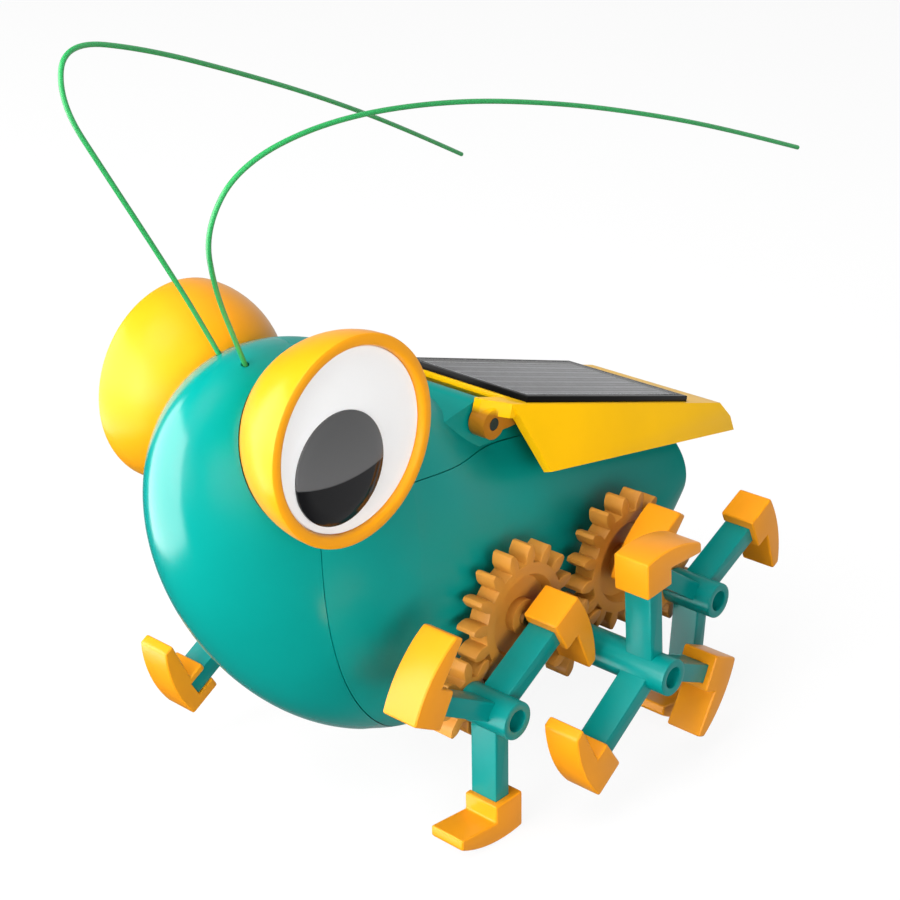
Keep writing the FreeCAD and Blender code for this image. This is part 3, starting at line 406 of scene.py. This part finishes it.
def pupil_finish():
    """Glossy black with a painted reflection: a paler upper part above a bowed edge, for a reflected horizon."""
    material, tree, shader = new_material("pupil_plastic")
    place = tree.split(tree.coordinates())
    across = tree.math("SUBTRACT", place["Y"], GLINT[0])
    bow = tree.math("MULTIPLY", tree.math("MULTIPLY", across, across), GLINT_BOW)
    edge = tree.math("ADD", bow, GLINT[1])
    above = tree.math("SUBTRACT", place["Z"], edge)
    upper = tree.math("MULTIPLY", above, GLINT_SHARPNESS, clamp=True)
    paler = tree.math("MULTIPLY", upper, tree.fade(above, rate=-40.0, offset=1.0))
    # Grey of the painted reflection in the pupil's upper part.
    glint = (0.12, 0.12, 0.122, 1)
    tree.put(tree.tinted(paler, shade_of(colours().pupil), glint, 0, 1), shader["Base Color"])
    tree.put(0.12, shader["Roughness"])
    tree.put(0.3, shader["Specular IOR Level"])
    return material


# Cell in the wing's frame, its strips, its black border and the painted highlight line in it, in millimetres.
CELL_HALF_WIDTH = 9.7
CELL_HALF_LENGTH = 17.2
CELL_MIDDLE = 22.2
STRIPS_WIDTH = 18.0
BORDER = 1.35
HIGHLIGHT_LINE_START = 0.85
HIGHLIGHT_LINE_END = 1.1
GAP_SHARE = 0.18


def strip_tone(tree, place, count):
    """Tone of the silicon: every other strip paler and cloudy, with a painted reflection that makes it paler
    towards the tail.
    """
    odd = tree.math("FRACT", tree.math("MULTIPLY", tree.math("FLOOR", count), 0.5))
    # Painted reflection: the cell grows paler towards the tail.
    along = tree.fade(place["Y"], rate=0.024, offset=-0.1)
    cloudy = tree.math("MULTIPLY", tree.math("ADD", along, tree.noise(900.0, 3.0)), 0.5)
    return tree.math("ADD", tree.math("MULTIPLY", odd, 0.5), cloudy)


def inside_edge(tree, place):
    """Distance in from the nearest edge of the cell."""
    side = tree.math("SUBTRACT", CELL_HALF_WIDTH, tree.math("ABSOLUTE", place["X"]))
    from_middle = tree.math("ABSOLUTE", tree.math("SUBTRACT", place["Y"], CELL_MIDDLE))
    return tree.math("MINIMUM", side, tree.math("SUBTRACT", CELL_HALF_LENGTH, from_middle))


def cell_finish():
    """Silicon strips lengthwise, in a black border with a pale line painted as the window edge's highlight."""
    material, tree, shader = new_material("cell_silicon")
    place = wing_place(tree)
    # The whole number added keeps the count of strips above zero on both sides of the middle.
    count = tree.math("MULTIPLY_ADD", place["X"], sizes().cell_strips / STRIPS_WIDTH, 100.0)
    cell = colours().cell
    silicon = tree.tinted(strip_tone(tree, place, count), shade_of(cell, 0.25), shade_of(cell, 3.0), 0.1, 1.0)
    gap = tree.math("LESS_THAN", tree.math("FRACT", count), GAP_SHARE)
    strips = tree.mixed(gap, silicon, (0.012, 0.012, 0.014, 1))
    rim = inside_edge(tree, place)
    bordered = tree.mixed(tree.math("LESS_THAN", rim, BORDER), strips, (0.006, 0.006, 0.007, 1))
    # Painted highlight: a pale line in the black border for the window's lit edge.
    line = tree.math("MULTIPLY", tree.math("GREATER_THAN", rim, HIGHLIGHT_LINE_START),
                     tree.math("LESS_THAN", rim, HIGHLIGHT_LINE_END))
    tree.put(tree.mixed(line, bordered, (0.75, 0.75, 0.77, 1)), shader["Base Color"])
    tree.put(0.3, shader["Roughness"])
    tree.put(0.3, shader["Metallic"])
    return material


def clear_finish():
    """Clear resin over the cell."""
    material, tree, shader = new_material("window_resin")
    tree.put(tree.between(tree.noise(200.0), 0.02, 0.07), shader["Roughness"])
    tree.put((0.97, 0.98, 1.0, 1), shader["Base Color"])
    tree.put(1.0, shader["Transmission Weight"])
    tree.put(1.12, shader["IOR"])
    return material


# Sizes and colours a user would change ---------------------------------------------------------

def size(name, description, default_mm):
    """Length property from a default in millimetres."""
    return FloatProperty(name=name, description=description, default=default_mm * MM, min=0.0, precision=5,
                         subtype="DISTANCE", unit="LENGTH")


def tint(name, description, colour):
    """Colour property."""
    return FloatVectorProperty(name=name, description=description, default=colour, size=3, min=0.0, max=1.0,
                               subtype="COLOR")


class BugSizes(bpy.types.PropertyGroup):
    """Sizes of the rounded edges, the wires and the cell's strips"""
    foot_edge: size("Foot edge", "Rounding of the feet's edges", 0.4)
    leg_edge: size("Leg edge", "Rounding of the arms' edges", 0.28)
    gear_edge: size("Gear edge", "Rounding of the gear teeth", 0.12)
    wing_edge: size("Wing edge", "Rounding of the wing's edges", 0.25)
    antenna_radius: size("Antenna radius", "Radius of the antenna wire", 0.3)
    tray_edge: size("Tray edge", "Rounding of the panel tray's edges", 0.15)
    cell_strips: IntProperty(name="Cell strips", description="Strips across the solar cell", default=13,
                             min=2, max=40)


class BugColours(bpy.types.PropertyGroup):
    """Colours of the plastics, the wires and the cell"""
    shell: tint("Shell", "Colour of the body shell", (0.0, 0.275, 0.240))
    leg: tint("Leg", "Colour of the leg arms", (0.0, 0.225, 0.205))
    cup: tint("Eye cup", "Colour of the eye cups", (0.90, 0.355, 0.008))
    wing: tint("Wing", "Colour of the wing", (1.0, 0.55, 0.001))
    # Painted shade for the hinge lugs under the wing's corner, not a colour of the lugs themselves.
    knuckle_shade: tint("Wing knuckle", "Colour of the wing's hinge lugs", (0.42, 0.16, 0.01))
    foot: tint("Foot", "Colour of the feet", (0.82, 0.30, 0.008))
    gear: tint("Gear", "Colour of the outer gears", (0.60, 0.25, 0.035))
    eye: tint("Eye", "Colour of the eye discs", (0.93, 0.93, 0.93))
    pupil: tint("Pupil", "Colour of the pupils", (0.008, 0.008, 0.009))
    antenna: tint("Antenna", "Colour of the antennae", (0.03, 0.32, 0.09))
    tray: tint("Tray", "Colour of the panel tray", (0.004, 0.004, 0.004))
    cell: tint("Cell", "Colour of the solar cell", (0.16, 0.16, 0.17))


def sizes():
    """Sizes set in the scene."""
    return bpy.context.scene.bug_sizes


def colours():
    """Colours set in the scene."""
    return bpy.context.scene.bug_colours


# Forms -----------------------------------------------------------------------------------------

FOOT_RADIUS = 17.25 * MM
ARM_LENGTH = 14.8 * MM
ARM_HALF_WIDTH = 1.25 * MM
ARM_INNER = -2.3 * MM
ARM_OUTER = 1.75 * MM
SLOT_PLAY = 0.05 * MM


def arc(radius, start, end, steps):
    """Points along an arc about the origin, in degrees."""
    turns = [math.radians(start + (end - start) * i / steps) for i in range(steps + 1)]
    return [(radius * math.cos(turn), radius * math.sin(turn)) for turn in turns]


def foot_form():
    """Foot in its wheel's frame: a block with a toe on a sole that is round about the axle."""
    heel, toe, instep = 2.8 * MM, 8.4 * MM, 2.16 * MM
    top, toe_top, toe_root = 12.0 * MM, 13.6 * MM, 14.3 * MM
    half_width = 2.625 * MM
    heel_turn = math.degrees(math.asin(heel / FOOT_RADIUS))
    toe_turn = math.degrees(math.asin(toe / FOOT_RADIUS))
    outline = arc(FOOT_RADIUS, heel_turn, -toe_turn, 10)
    outline += [(toe_top, -toe), (toe_root, -instep), (top, -instep), (top, heel)]
    foot = prism("foot_form", outline, -half_width, half_width)
    ease_edges(foot, sizes().foot_edge, 3)
    across = ARM_HALF_WIDTH + SLOT_PLAY
    carve(foot, brick("slot", (11 * MM, -across, -3 * MM),
                      (ARM_LENGTH + SLOT_PLAY, across, ARM_OUTER + SLOT_PLAY)))
    return foot


def arm_form():
    """Arm of a leg wheel along X."""
    arm = brick("arm_form", (0, -ARM_HALF_WIDTH, ARM_INNER), (ARM_LENGTH, ARM_HALF_WIDTH, ARM_OUTER))
    ease_edges(arm, sizes().leg_edge, 2)
    return arm


def spider_form(root):
    """Hub tube from a root height out to its tip, with an open socket and three arms."""
    radius, tip = 2.45 * MM, 4.2 * MM
    wall, socket_depth, edge = 1.05 * MM, 2.0 * MM, 0.18 * MM
    hub = drum("spider_form", radius, root, tip, 40)
    pick(hub, "polygons", lambda face: face.normal.z > 0.9)
    start_edit(hub, "FACE")
    bpy.ops.mesh.inset(thickness=wall)
    bpy.ops.mesh.extrude_region_move(TRANSFORM_OT_translate={"value": (0, 0, -socket_depth)})
    end_edit()
    ease_edges(hub, edge, 2, 50)
    arm = arm_form()
    arms = [copied(arm, "arm", Matrix.Rotation(math.radians(120 * i), 4, "Z")) for i in range(3)]
    bpy.data.objects.remove(arm)
    for arm in arms:
        carve(hub, arm, "UNION")
    return hub


def gear_outline(module, teeth, play, tip_share, root_share=1.25):
    """Involute gear outline about the origin, with a tooth on +X."""
    pressure = math.radians(20)
    pitch = module * teeth / 2
    base = pitch * math.cos(pressure)
    root = pitch - root_share * module
    tip = pitch + tip_share * module
    involute = math.tan(pressure) - pressure

    def half_width(radius):
        turn = math.acos(base / radius)
        half_angle = math.pi / (2 * teeth) - play / (4 * pitch) + involute - math.tan(turn) + turn
        return radius * math.sin(half_angle)

    start = max(base, root)
    radii = [start + (tip - start) * i / 3 for i in range(4)]
    flank = [(radius, half_width(radius)) for radius in radii]
    if base > root:
        flank.insert(0, (root, flank[0][1] * 0.8))
    outline = []
    for tooth in range(teeth):
        turn = 2 * math.pi * tooth / teeth
        sides = [(x, -w) for x, w in flank] + [(x, w) for x, w in reversed(flank)]
        for x, y in sides:
            outline.append((x * math.cos(turn) - y * math.sin(turn),
                            x * math.sin(turn) + y * math.cos(turn)))
        middle = turn + math.pi / teeth
        outline.append((root * math.cos(middle), root * math.sin(middle)))
    return outline


MODULE = 1.06 * MM
TOOTH_PLAY = 0.34 * MM
TIP_SHARE = 0.98
IDLER_TEETH = 16
PINION_TEETH = 8
BORE = 1.01 * MM


def idler_form():
    """Idler wheel: toothed rim, dished web, hub and bore."""
    width, hub, web, rim = 3.0 * MM, 2.3 * MM, 5.1 * MM, 5.75 * MM
    floor, above = width - 1.2 * MM, width + MM
    gear = prism("idler_form", gear_outline(MODULE, IDLER_TEETH, TOOTH_PLAY, TIP_SHARE), 0, width)
    ease_edges(gear, sizes().gear_edge, 2, 35)
    dish = [(hub, above), (hub, floor), (web, floor), (rim, width + 0.1 * MM), (rim, above), (hub, above)]
    carve(gear, turned("dish", dish, 64))
    carve(gear, drum("bore", BORE, -MM, above, 32))
    return gear


def pinion_form():
    """Leg pinion: toothed wheel and bore."""
    width = 3.6 * MM
    gear = prism("pinion_form", gear_outline(MODULE, PINION_TEETH, TOOTH_PLAY, TIP_SHARE), 0, width)
    ease_edges(gear, sizes().gear_edge, 2, 35)
    carve(gear, drum("bore", BORE, -MM, 5 * MM, 32))
    return gear


def ball(radius, centre, start, stop, step):
    """Points of (radius, height) round a ball's underside, at whole degrees from its lowest point."""
    turns = [math.radians(degrees) for degrees in range(start, stop, step)]
    return [(radius * math.sin(turn), centre - radius * math.cos(turn)) for turn in turns]


def cup_form():
    """Eye cup: a ball cut off at a rounded rim, with a seat for the disc."""
    centre = 14.3 * MM
    rim = mm((12.40, 14.45), (12.33, 14.68), (12.1, 14.8), (11.35, 14.8), (11.1, 14.72), (10.95, 14.5),
             (10.86, 14.2))
    seat = mm((10.86, 13.1), (9.6, 13.1), (9.6, 12.0))
    outside, inside = ball(12.4 * MM, centre, 0, 88, 4), ball(11.2 * MM, centre, 76, -1, -6)
    return turned("cup_form", outside + rim + seat + inside, 96)


def disc_form():
    """White disc with a slightly domed face."""
    return turned("disc_form", mm((0, 13.1), (10.8, 13.1), (10.8, 13.95), (10.7, 14.05), (8.0, 14.2),
                                  (4.0, 14.28), (0, 14.3)), 96)


def pupil_form():
    """Black pupil with a slightly domed face."""
    return turned("pupil_form", mm((0, 14.2), (6.7, 14.2), (6.7, 14.45), (6.5, 14.58), (5.0, 14.7),
                                   (2.5, 14.78), (0, 14.8)), 96)


# Operators -------------------------------------------------------------------------------------

class PieceOperator(bpy.types.Operator):
    """Base of the operators, which each build some pieces"""
    bl_options = {"REGISTER", "UNDO"}

    def execute(self, context):
        self.build()
        return {"FINISHED"}


# How far out each pair of leg wheels stands, in millimetres, and the turn of its left wheel, in degrees.
LEGS = {"front": (21.6, 31.3), "middle": (29.3, 95.3), "rear": (21.6, 26.1)}
FLANK = 18.2
IDLER_OUT = 14.9
PINION_OUT = 14.6


def wheel_turn(phase, side):
    """Turn of a leg wheel: the right one stands 60 degrees on from the left one."""
    return phase if side > 0 else phase + 60


class WALKBUG_OT_feet(PieceOperator):
    """Three soles with toes on each leg wheel"""
    bl_idname = "walkbug.feet"
    bl_label = "Feet"

    def build(self):
        finish = moulded("foot_plastic", colours().foot, 0.3, 0.88, 0.05)
        form = foot_form()
        for leg, (offset, phase) in LEGS.items():
            for side_name, side in SIDES.items():
                turns = [wheel_turn(phase, side) + 120 * i for i in range(3)]
                feet = [copied(form, "foot", on_axle(f"{leg}_legs_turn", side * offset * MM, turn, side))
                        for turn in turns]
                select_only(*feet)
                bpy.ops.object.join()
                piece = made(f"soles_{leg}_{side_name}")
                smooth(piece)
                finish_piece(piece, finish, f"legs_{leg}", "amber_foot", f"feet_{leg}_{side_name}")
        bpy.data.objects.remove(form)


class WALKBUG_OT_legs(PieceOperator):
    """Hub tubes with three arms each"""
    bl_idname = "walkbug.legs"
    bl_label = "Leg wheels"

    def build(self):
        finish = moulded("leg_plastic", colours().leg, 0.3, 0.88, 0.04)
        for leg, (offset, phase) in LEGS.items():
            form = spider_form((FLANK - offset) * MM)
            for side_name, side in SIDES.items():
                turn = wheel_turn(phase, side)
                piece = copied(form, f"hub_arms_{leg}_{side_name}",
                               on_axle(f"{leg}_legs_turn", side * offset * MM, turn, side))
                smooth(piece)
                finish_piece(piece, finish, f"legs_{leg}", "teal_leg", f"leg_spider_{leg}_{side_name}")
            bpy.data.objects.remove(form)


class WALKBUG_OT_gears(PieceOperator):
    """Idler wheels and leg pinions on both flanks"""
    bl_idname = "walkbug.gears"
    bl_label = "Outer gears"

    def build(self):
        finish = moulded("gear_plastic", colours().gear, 0.42, 0.8, 0.08)
        idler = idler_form()
        pinion = pinion_form()
        phases = gear_phases()
        for side_name, side in SIDES.items():
            for end in ("front", "rear"):
                turn = phases["idler_" + end]
                piece = copied(idler, f"idler_wheel_{end}_{side_name}",
                               on_axle(f"{end}_idlers_turn", side * IDLER_OUT * MM, turn, side))
                smooth(piece)
                finish_piece(piece, finish, f"idlers_{end}", "orange_gear", f"idler_gear_{end}_{side_name}")
            for leg in LEGS:
                turn = phases["pinion_" + leg]
                piece = copied(pinion, f"pinion_{leg}_{side_name}",
                               on_axle(f"{leg}_legs_turn", side * PINION_OUT * MM, turn, side))
                smooth(piece)
                finish_piece(piece, finish, f"legs_{leg}", "orange_gear", f"leg_pinion_{leg}_{side_name}")
        bpy.data.objects.remove(idler)
        bpy.data.objects.remove(pinion)


def gear_phases():
    """Tooth phases that leave the outer gear train in mesh."""
    # Slope of the line between neighbouring gears, and the front idler's phase, in degrees.
    rise, front = 34.34, 15.0

    def meshed(phase, teeth, direction, other):
        """Phase of the other gear, which lies in a direction from this one."""
        share = (phase - direction) * teeth / 360
        return direction + 180 + (0.5 - share) * 360 / other

    middle = meshed(front, IDLER_TEETH, -rise, PINION_TEETH)
    rear = meshed(middle, PINION_TEETH, rise, IDLER_TEETH)
    return {"idler_front": front, "pinion_middle": middle, "idler_rear": rear,
            "pinion_front": meshed(front, IDLER_TEETH, 180 + rise, PINION_TEETH),
            "pinion_rear": meshed(rear, IDLER_TEETH, -rise, PINION_TEETH)}


def outwards(side, y, z):
    """Matrix that stands a piece turned about Z on the flank, Z pointing outwards along X."""
    return Matrix(((0, 0, side, 0), (1, 0, 0, y), (0, 1, 0, z), (0, 0, 0, 1)))


class WALKBUG_OT_eyes(PieceOperator):
    """Eye cups, white discs and pupils"""
    bl_idname = "walkbug.eyes"
    bl_label = "Eyes"

    def build(self):
        cup_finish = moulded("cup_plastic", colours().cup, 0.3, 0.92, 0.02, 0.25)
        white = moulded("eye_plastic", colours().eye, 0.3, 0.98, 0.0, 0.3)
        black = pupil_finish()
        eye_parts = ((cup_form(), "eye_bowl", EYE, cup_finish, "amber", "eye_cup"),
                     (disc_form(), "eye_white", EYE, white, "white_eye", "eye_disc"),
                     (pupil_form(), "eye_pupil", PUPIL, black, "black_pupil", "pupil"))
        for side_name, side in SIDES.items():
            for form, name, place, finish, slot, node in eye_parts:
                piece = copied(form, f"{name}_{side_name}", outwards(side, *place))
                smooth(piece, 40)
                finish_piece(piece, finish, "chassis", slot, f"{node}_{side_name}")
        for form, *_ in eye_parts:
            bpy.data.objects.remove(form)


# Points that steer each wire, in millimetres, from its root in the head to its tip.
ANTENNAE = {
    "left": [(1.9, -33.5, 60.4), (2.9, -36.6, 66.3), (4.1, -40.0, 73.0), (5.3, -41.9, 80.0),
             (7.0, -38.4, 86.6), (9.4, -27.4, 89.9), (12.0, -12.0, 89.8), (14.6, 4.6, 87.2),
             (17.0, 21.0, 83.3), (18.6, 35.2, 79.2), (20.0, 48.4, 74.9)],
    "right": [(-1.9, -33.5, 60.4), (-3.1, -36.2, 66.8), (-5.0, -40.2, 75.3), (-7.1, -44.6, 84.3),
              (-9.0, -48.5, 92.4), (-10.6, -46.2, 98.2), (-12.4, -34.0, 95.4), (-14.6, -18.2, 90.0),
              (-16.4, -4.2, 84.8), (-18.3, 11.6, 78.2), (-20.0, 26.1, 71.4)],
}


def wire_form(points):
    """Round wire along a smooth curve that some points steer."""
    curve = bpy.data.curves.new("antenna", "CURVE")
    curve.dimensions = "3D"
    spline = curve.splines.new("NURBS")
    spline.points.add(len(points) - 1)
    for point, place in zip(spline.points, points):
        point.co = (*(Vector(place) * MM), 1)
    spline.order_u = 3
    spline.use_endpoint_u = True
    spline.resolution_u = 12
    curve.bevel_depth = sizes().antenna_radius
    curve.bevel_resolution = 4
    curve.use_fill_caps = True
    wire = bpy.data.objects.new("antenna", curve)
    bpy.context.scene.collection.objects.link(wire)
    select_only(wire)
    bpy.ops.object.convert(target="MESH")


class WALKBUG_OT_antennae(PieceOperator):
    """Two springy wires that sweep back over the wing"""
    bl_idname = "walkbug.antennae"
    bl_label = "Antennae"

    def build(self):
        finish = moulded("antenna_lacquer", colours().antenna, 0.2, 0.85, 0.02, 0.5)
        for side_name, points in ANTENNAE.items():
            wire_form(points)
            piece = made(f"feeler_{side_name}")
            smooth(piece, 60)
            finish_piece(piece, finish, "chassis", "green_wire", f"antenna_{side_name}")


# Stage -----------------------------------------------------------------------------------------

# Where each lamp stands and aims, in metres, its width and height, and its power in watts.
LAMPS = {
    "key_lamp": ((-0.36, -0.53, 0.05), (0, -0.01, 0.05), 1.10, 1.0, 16.5),
    "side_lamp": ((0.36, -0.24, 0.06), (0, 0, 0.04), 0.25, 0.25, 1.4),
    "right_lamp": ((0.50, -0.04, 0.08), (0, 0, 0.04), 0.3, 0.3, 0.75),
    "front_lamp": ((0.02, -0.50, 0.30), (0, -0.01, 0.05), 0.25, 0.25, 0.8),
    "low_lamp": ((0.06, -0.50, 0.06), (0, 0, 0.04), 0.25, 0.25, 1.8),
    "top_lamp": ((0.0, -0.25, 0.50), (0, 0, 0.05), 0.3, 0.3, 1.8),
}
FLOOR_SHADE = 0.14
FLOOR_GLOW = 0.9
SKY_LEVEL = 0.035
BACK_WALL_LEVEL = 0.75
CAMERA_PLACE = (0.1494, -0.1626, 0.1342)
CAMERA_AROUND = 42.28
CAMERA_ABOVE = 22.95
CAMERA_LENS = 74.35


def lay_floor():
    """Paper that glows where the camera sees it, and is dark to everything else."""
    bpy.ops.object.select_all(action="DESELECT")
    bpy.ops.mesh.primitive_plane_add(size=6, location=(0, 0, 0))
    floor = made("floor")
    material, tree, shader = new_material("floor_paper")
    tree.nodes.remove(tree.nodes["Principled BSDF"])
    seen = tree.nodes.new("ShaderNodeLightPath").outputs["Is Camera Ray"]
    paper = tree.nodes.new("ShaderNodeBsdfDiffuse")
    tree.put(tree.tinted(seen, grey(FLOOR_SHADE), grey(1.0), 0, 1), paper.inputs["Color"])
    mix = tree.nodes.new("ShaderNodeMixShader")
    tree.put(tree.math("MULTIPLY", seen, FLOOR_GLOW), mix.inputs["Fac"])
    tree.put(paper.outputs["BSDF"], mix.inputs[1])
    tree.put(tree.nodes.new("ShaderNodeEmission").outputs["Emission"], mix.inputs[2])
    tree.put(mix.outputs["Shader"], tree.nodes["Material Output"].inputs["Surface"])
    floor.data.materials.append(material)
    floor.visible_glossy = False


def surround():
    """White for the camera, dim for the light, with a pale back wall in the reflections."""
    world = bpy.data.worlds.new("studio")
    bpy.context.scene.world = world
    tree = Tree(world)
    ray = tree.nodes.new("ShaderNodeLightPath").outputs
    behind = tree.fade(tree.split(tree.coordinates("Generated"))["Y"], rate=1.6, offset=-0.4)
    wall = tree.math("MULTIPLY", tree.math("MULTIPLY", behind, BACK_WALL_LEVEL), ray["Is Glossy Ray"])
    level = tree.math("ADD", SKY_LEVEL, tree.math("ADD", wall, ray["Is Camera Ray"]))
    sky = tree.nodes["Background"].inputs
    tree.put(grey(1.0), sky["Color"])
    tree.put(tree.math("MINIMUM", level, 1.0), sky["Strength"])


def hung(name, data):
    """Object for a lamp or a camera."""
    holder = bpy.data.objects.new(name, data)
    bpy.context.scene.collection.objects.link(holder)
    return holder


def hang_lamps():
    """Soft lamps about the bug, of which only the key lamp shows in reflections, and a weak sun."""
    for name, (place, aim, width, height, power) in LAMPS.items():
        lamp = bpy.data.lights.new(name, "AREA")
        lamp.shape = "RECTANGLE"
        lamp.size = width
        lamp.size_y = height
        lamp.energy = power
        holder = hung(name, lamp)
        holder.location = place
        holder.visible_glossy = name == "key_lamp"
        holder.rotation_euler = (Vector(aim) - Vector(place)).to_track_quat("-Z", "Y").to_euler()
    overhead = bpy.data.lights.new("overhead", "SUN")
    overhead.energy = 0.9
    overhead.angle = math.radians(50)
    holder = hung("overhead", overhead)
    holder.visible_glossy = False
    holder.rotation_euler = (math.radians(-12), math.radians(-8), 0)


def place_camera():
    """Camera that looks down on the bug from its front left."""
    camera = bpy.data.cameras.new("camera")
    camera.sensor_width = 36
    camera.lens = CAMERA_LENS
    camera.clip_start = 0.01
    holder = hung("camera", camera)
    around, above = math.radians(CAMERA_AROUND), math.radians(CAMERA_ABOVE)
    back = Vector((math.sin(around) * math.cos(above), -math.cos(around) * math.cos(above), math.sin(above)))
    right = Vector((math.cos(around), math.sin(around), 0))
    stand = Matrix((right, back.cross(right), back)).transposed().to_4x4()
    holder.matrix_world = Matrix.Translation(CAMERA_PLACE) @ stand
    bpy.context.scene.camera = holder


class WALKBUG_OT_stage(PieceOperator):
    """Pale floor, surroundings, soft lamps and the camera"""
    bl_idname = "walkbug.stage"
    bl_label = "Stage"

    def build(self):
        bpy.context.scene.view_settings.view_transform = "Standard"
        lay_floor()
        surround()
        hang_lamps()
        place_camera()


def merged_copy(node, name):
    """Copy of a frame piece with its loose triangles joined into flat faces."""
    piece = copied(frame["nodes"][node], name, Matrix())
    start_edit(piece)
    bpy.ops.mesh.select_all(action="SELECT")
    bpy.ops.mesh.remove_doubles(threshold=2e-6)
    bpy.ops.mesh.dissolve_limited(angle_limit=math.radians(0.5))
    bpy.ops.mesh.normals_make_consistent(inside=False)
    end_edit()
    return piece


class WALKBUG_OT_wing(PieceOperator):
    """Wing with eased edges, and the black tray of the panel"""
    bl_idname = "walkbug.wing"
    bl_label = "Wing"

    def build(self):
        wing = merged_copy("wing_frame", "wing_shell")
        ease_edges(wing, sizes().wing_edge, 2, 25)
        smooth(wing, 30)
        finish_piece(wing, wing_finish(), "wing", "amber", "wing_frame")
        tray = merged_copy("solar_tray", "panel_tray")
        ease_edges(tray, sizes().tray_edge, 2, 25)
        smooth(tray, 30)
        black = moulded("tray_plastic", colours().tray, 0.25, 0.7, 0.02, 0.08)
        finish_piece(tray, black, "wing", "black_tray", "solar_tray")


class WALKBUG_OT_frame_finishes(PieceOperator):
    """Finishes of the frame's own pieces: shells, cell and window, gearbox, motor and axles"""
    bl_idname = "walkbug.frame_finishes"
    bl_label = "Frame finishes"

    def build(self):
        colour = colours()
        shell = moulded("shell_plastic", colour.shell, 0.2, 0.95, 0.01, 0.65)
        # Lower and back shells carry painted shade, up to a third darker towards the tail.
        lower = painted_shade_to_tail(moulded("lower_shell_plastic", colour.shell, 0.36, 0.95, 0.02, 0.25), 0.68)
        natural = moulded("gearbox_plastic", (0.75, 0.74, 0.68), 0.45, 0.93, 0.08)
        steel = metal("axle_steel", (0.62, 0.62, 0.64), 0.25)
        finishes = {"teal_body": shell, "silicon": cell_finish(), "steel": steel, "natural_plastic": natural,
                    "motor_steel": metal("can_steel", (0.70, 0.70, 0.71), 0.35),
                    "motor_cap": moulded("cap_plastic", (0.03, 0.03, 0.03), 0.5, 0.8, 0.1),
                    "brass": metal("brass", (0.75, 0.55, 0.25), 0.3), "clear_window": clear_finish()}
        dark_steel = metal("blackened_steel", (0.05, 0.08, 0.08), 0.35)
        special = {"wing_hinge_pins": dark_steel, "lower_shell": lower, "back_shell": lower}
        slots = {part["node"]: part["material_slot"] for part in frame["record"]["subparts"]}
        for name, piece in frame["nodes"].items():
            if piece.hide_render:
                continue
            piece.data.materials.clear()
            piece.data.materials.append(special.get(name, finishes[slots[name]]))


class WALKBUG_PT_panel(bpy.types.Panel):
    """Lists the pieces in the 3D view's sidebar"""
    bl_label = "Walking Bug"
    bl_idname = "WALKBUG_PT_panel"
    bl_space_type = "VIEW_3D"
    bl_region_type = "UI"
    bl_category = "Walking Bug"

    def draw(self, context):
        for operator in OPERATORS:
            self.layout.operator(operator.bl_idname)
        for group in (context.scene.bug_sizes, context.scene.bug_colours):
            for name in group.bl_rna.properties.keys():
                if name not in {"rna_type", "name"}:
                    self.layout.prop(group, name)


OPERATORS = (WALKBUG_OT_feet, WALKBUG_OT_legs, WALKBUG_OT_gears, WALKBUG_OT_eyes, WALKBUG_OT_antennae,
             WALKBUG_OT_wing, WALKBUG_OT_frame_finishes, WALKBUG_OT_stage)
CLASSES = (BugSizes, BugColours, *OPERATORS, WALKBUG_PT_panel)


def register():
    """Add the operators, the panel and the settings."""
    for cls in CLASSES:
        bpy.utils.register_class(cls)
    bpy.types.Scene.bug_sizes = PointerProperty(type=BugSizes)
    bpy.types.Scene.bug_colours = PointerProperty(type=BugColours)


def unregister():
    """Take them away again."""
    del bpy.types.Scene.bug_sizes
    del bpy.types.Scene.bug_colours
    for cls in reversed(CLASSES):
        bpy.utils.unregister_class(cls)


def main():
    """Build the bug and its stage."""
    register()
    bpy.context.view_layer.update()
    for operator in OPERATORS:
        group, name = operator.bl_idname.split(".")
        getattr(getattr(bpy.ops, group), name)()


if __name__ == "__main__":
    main()
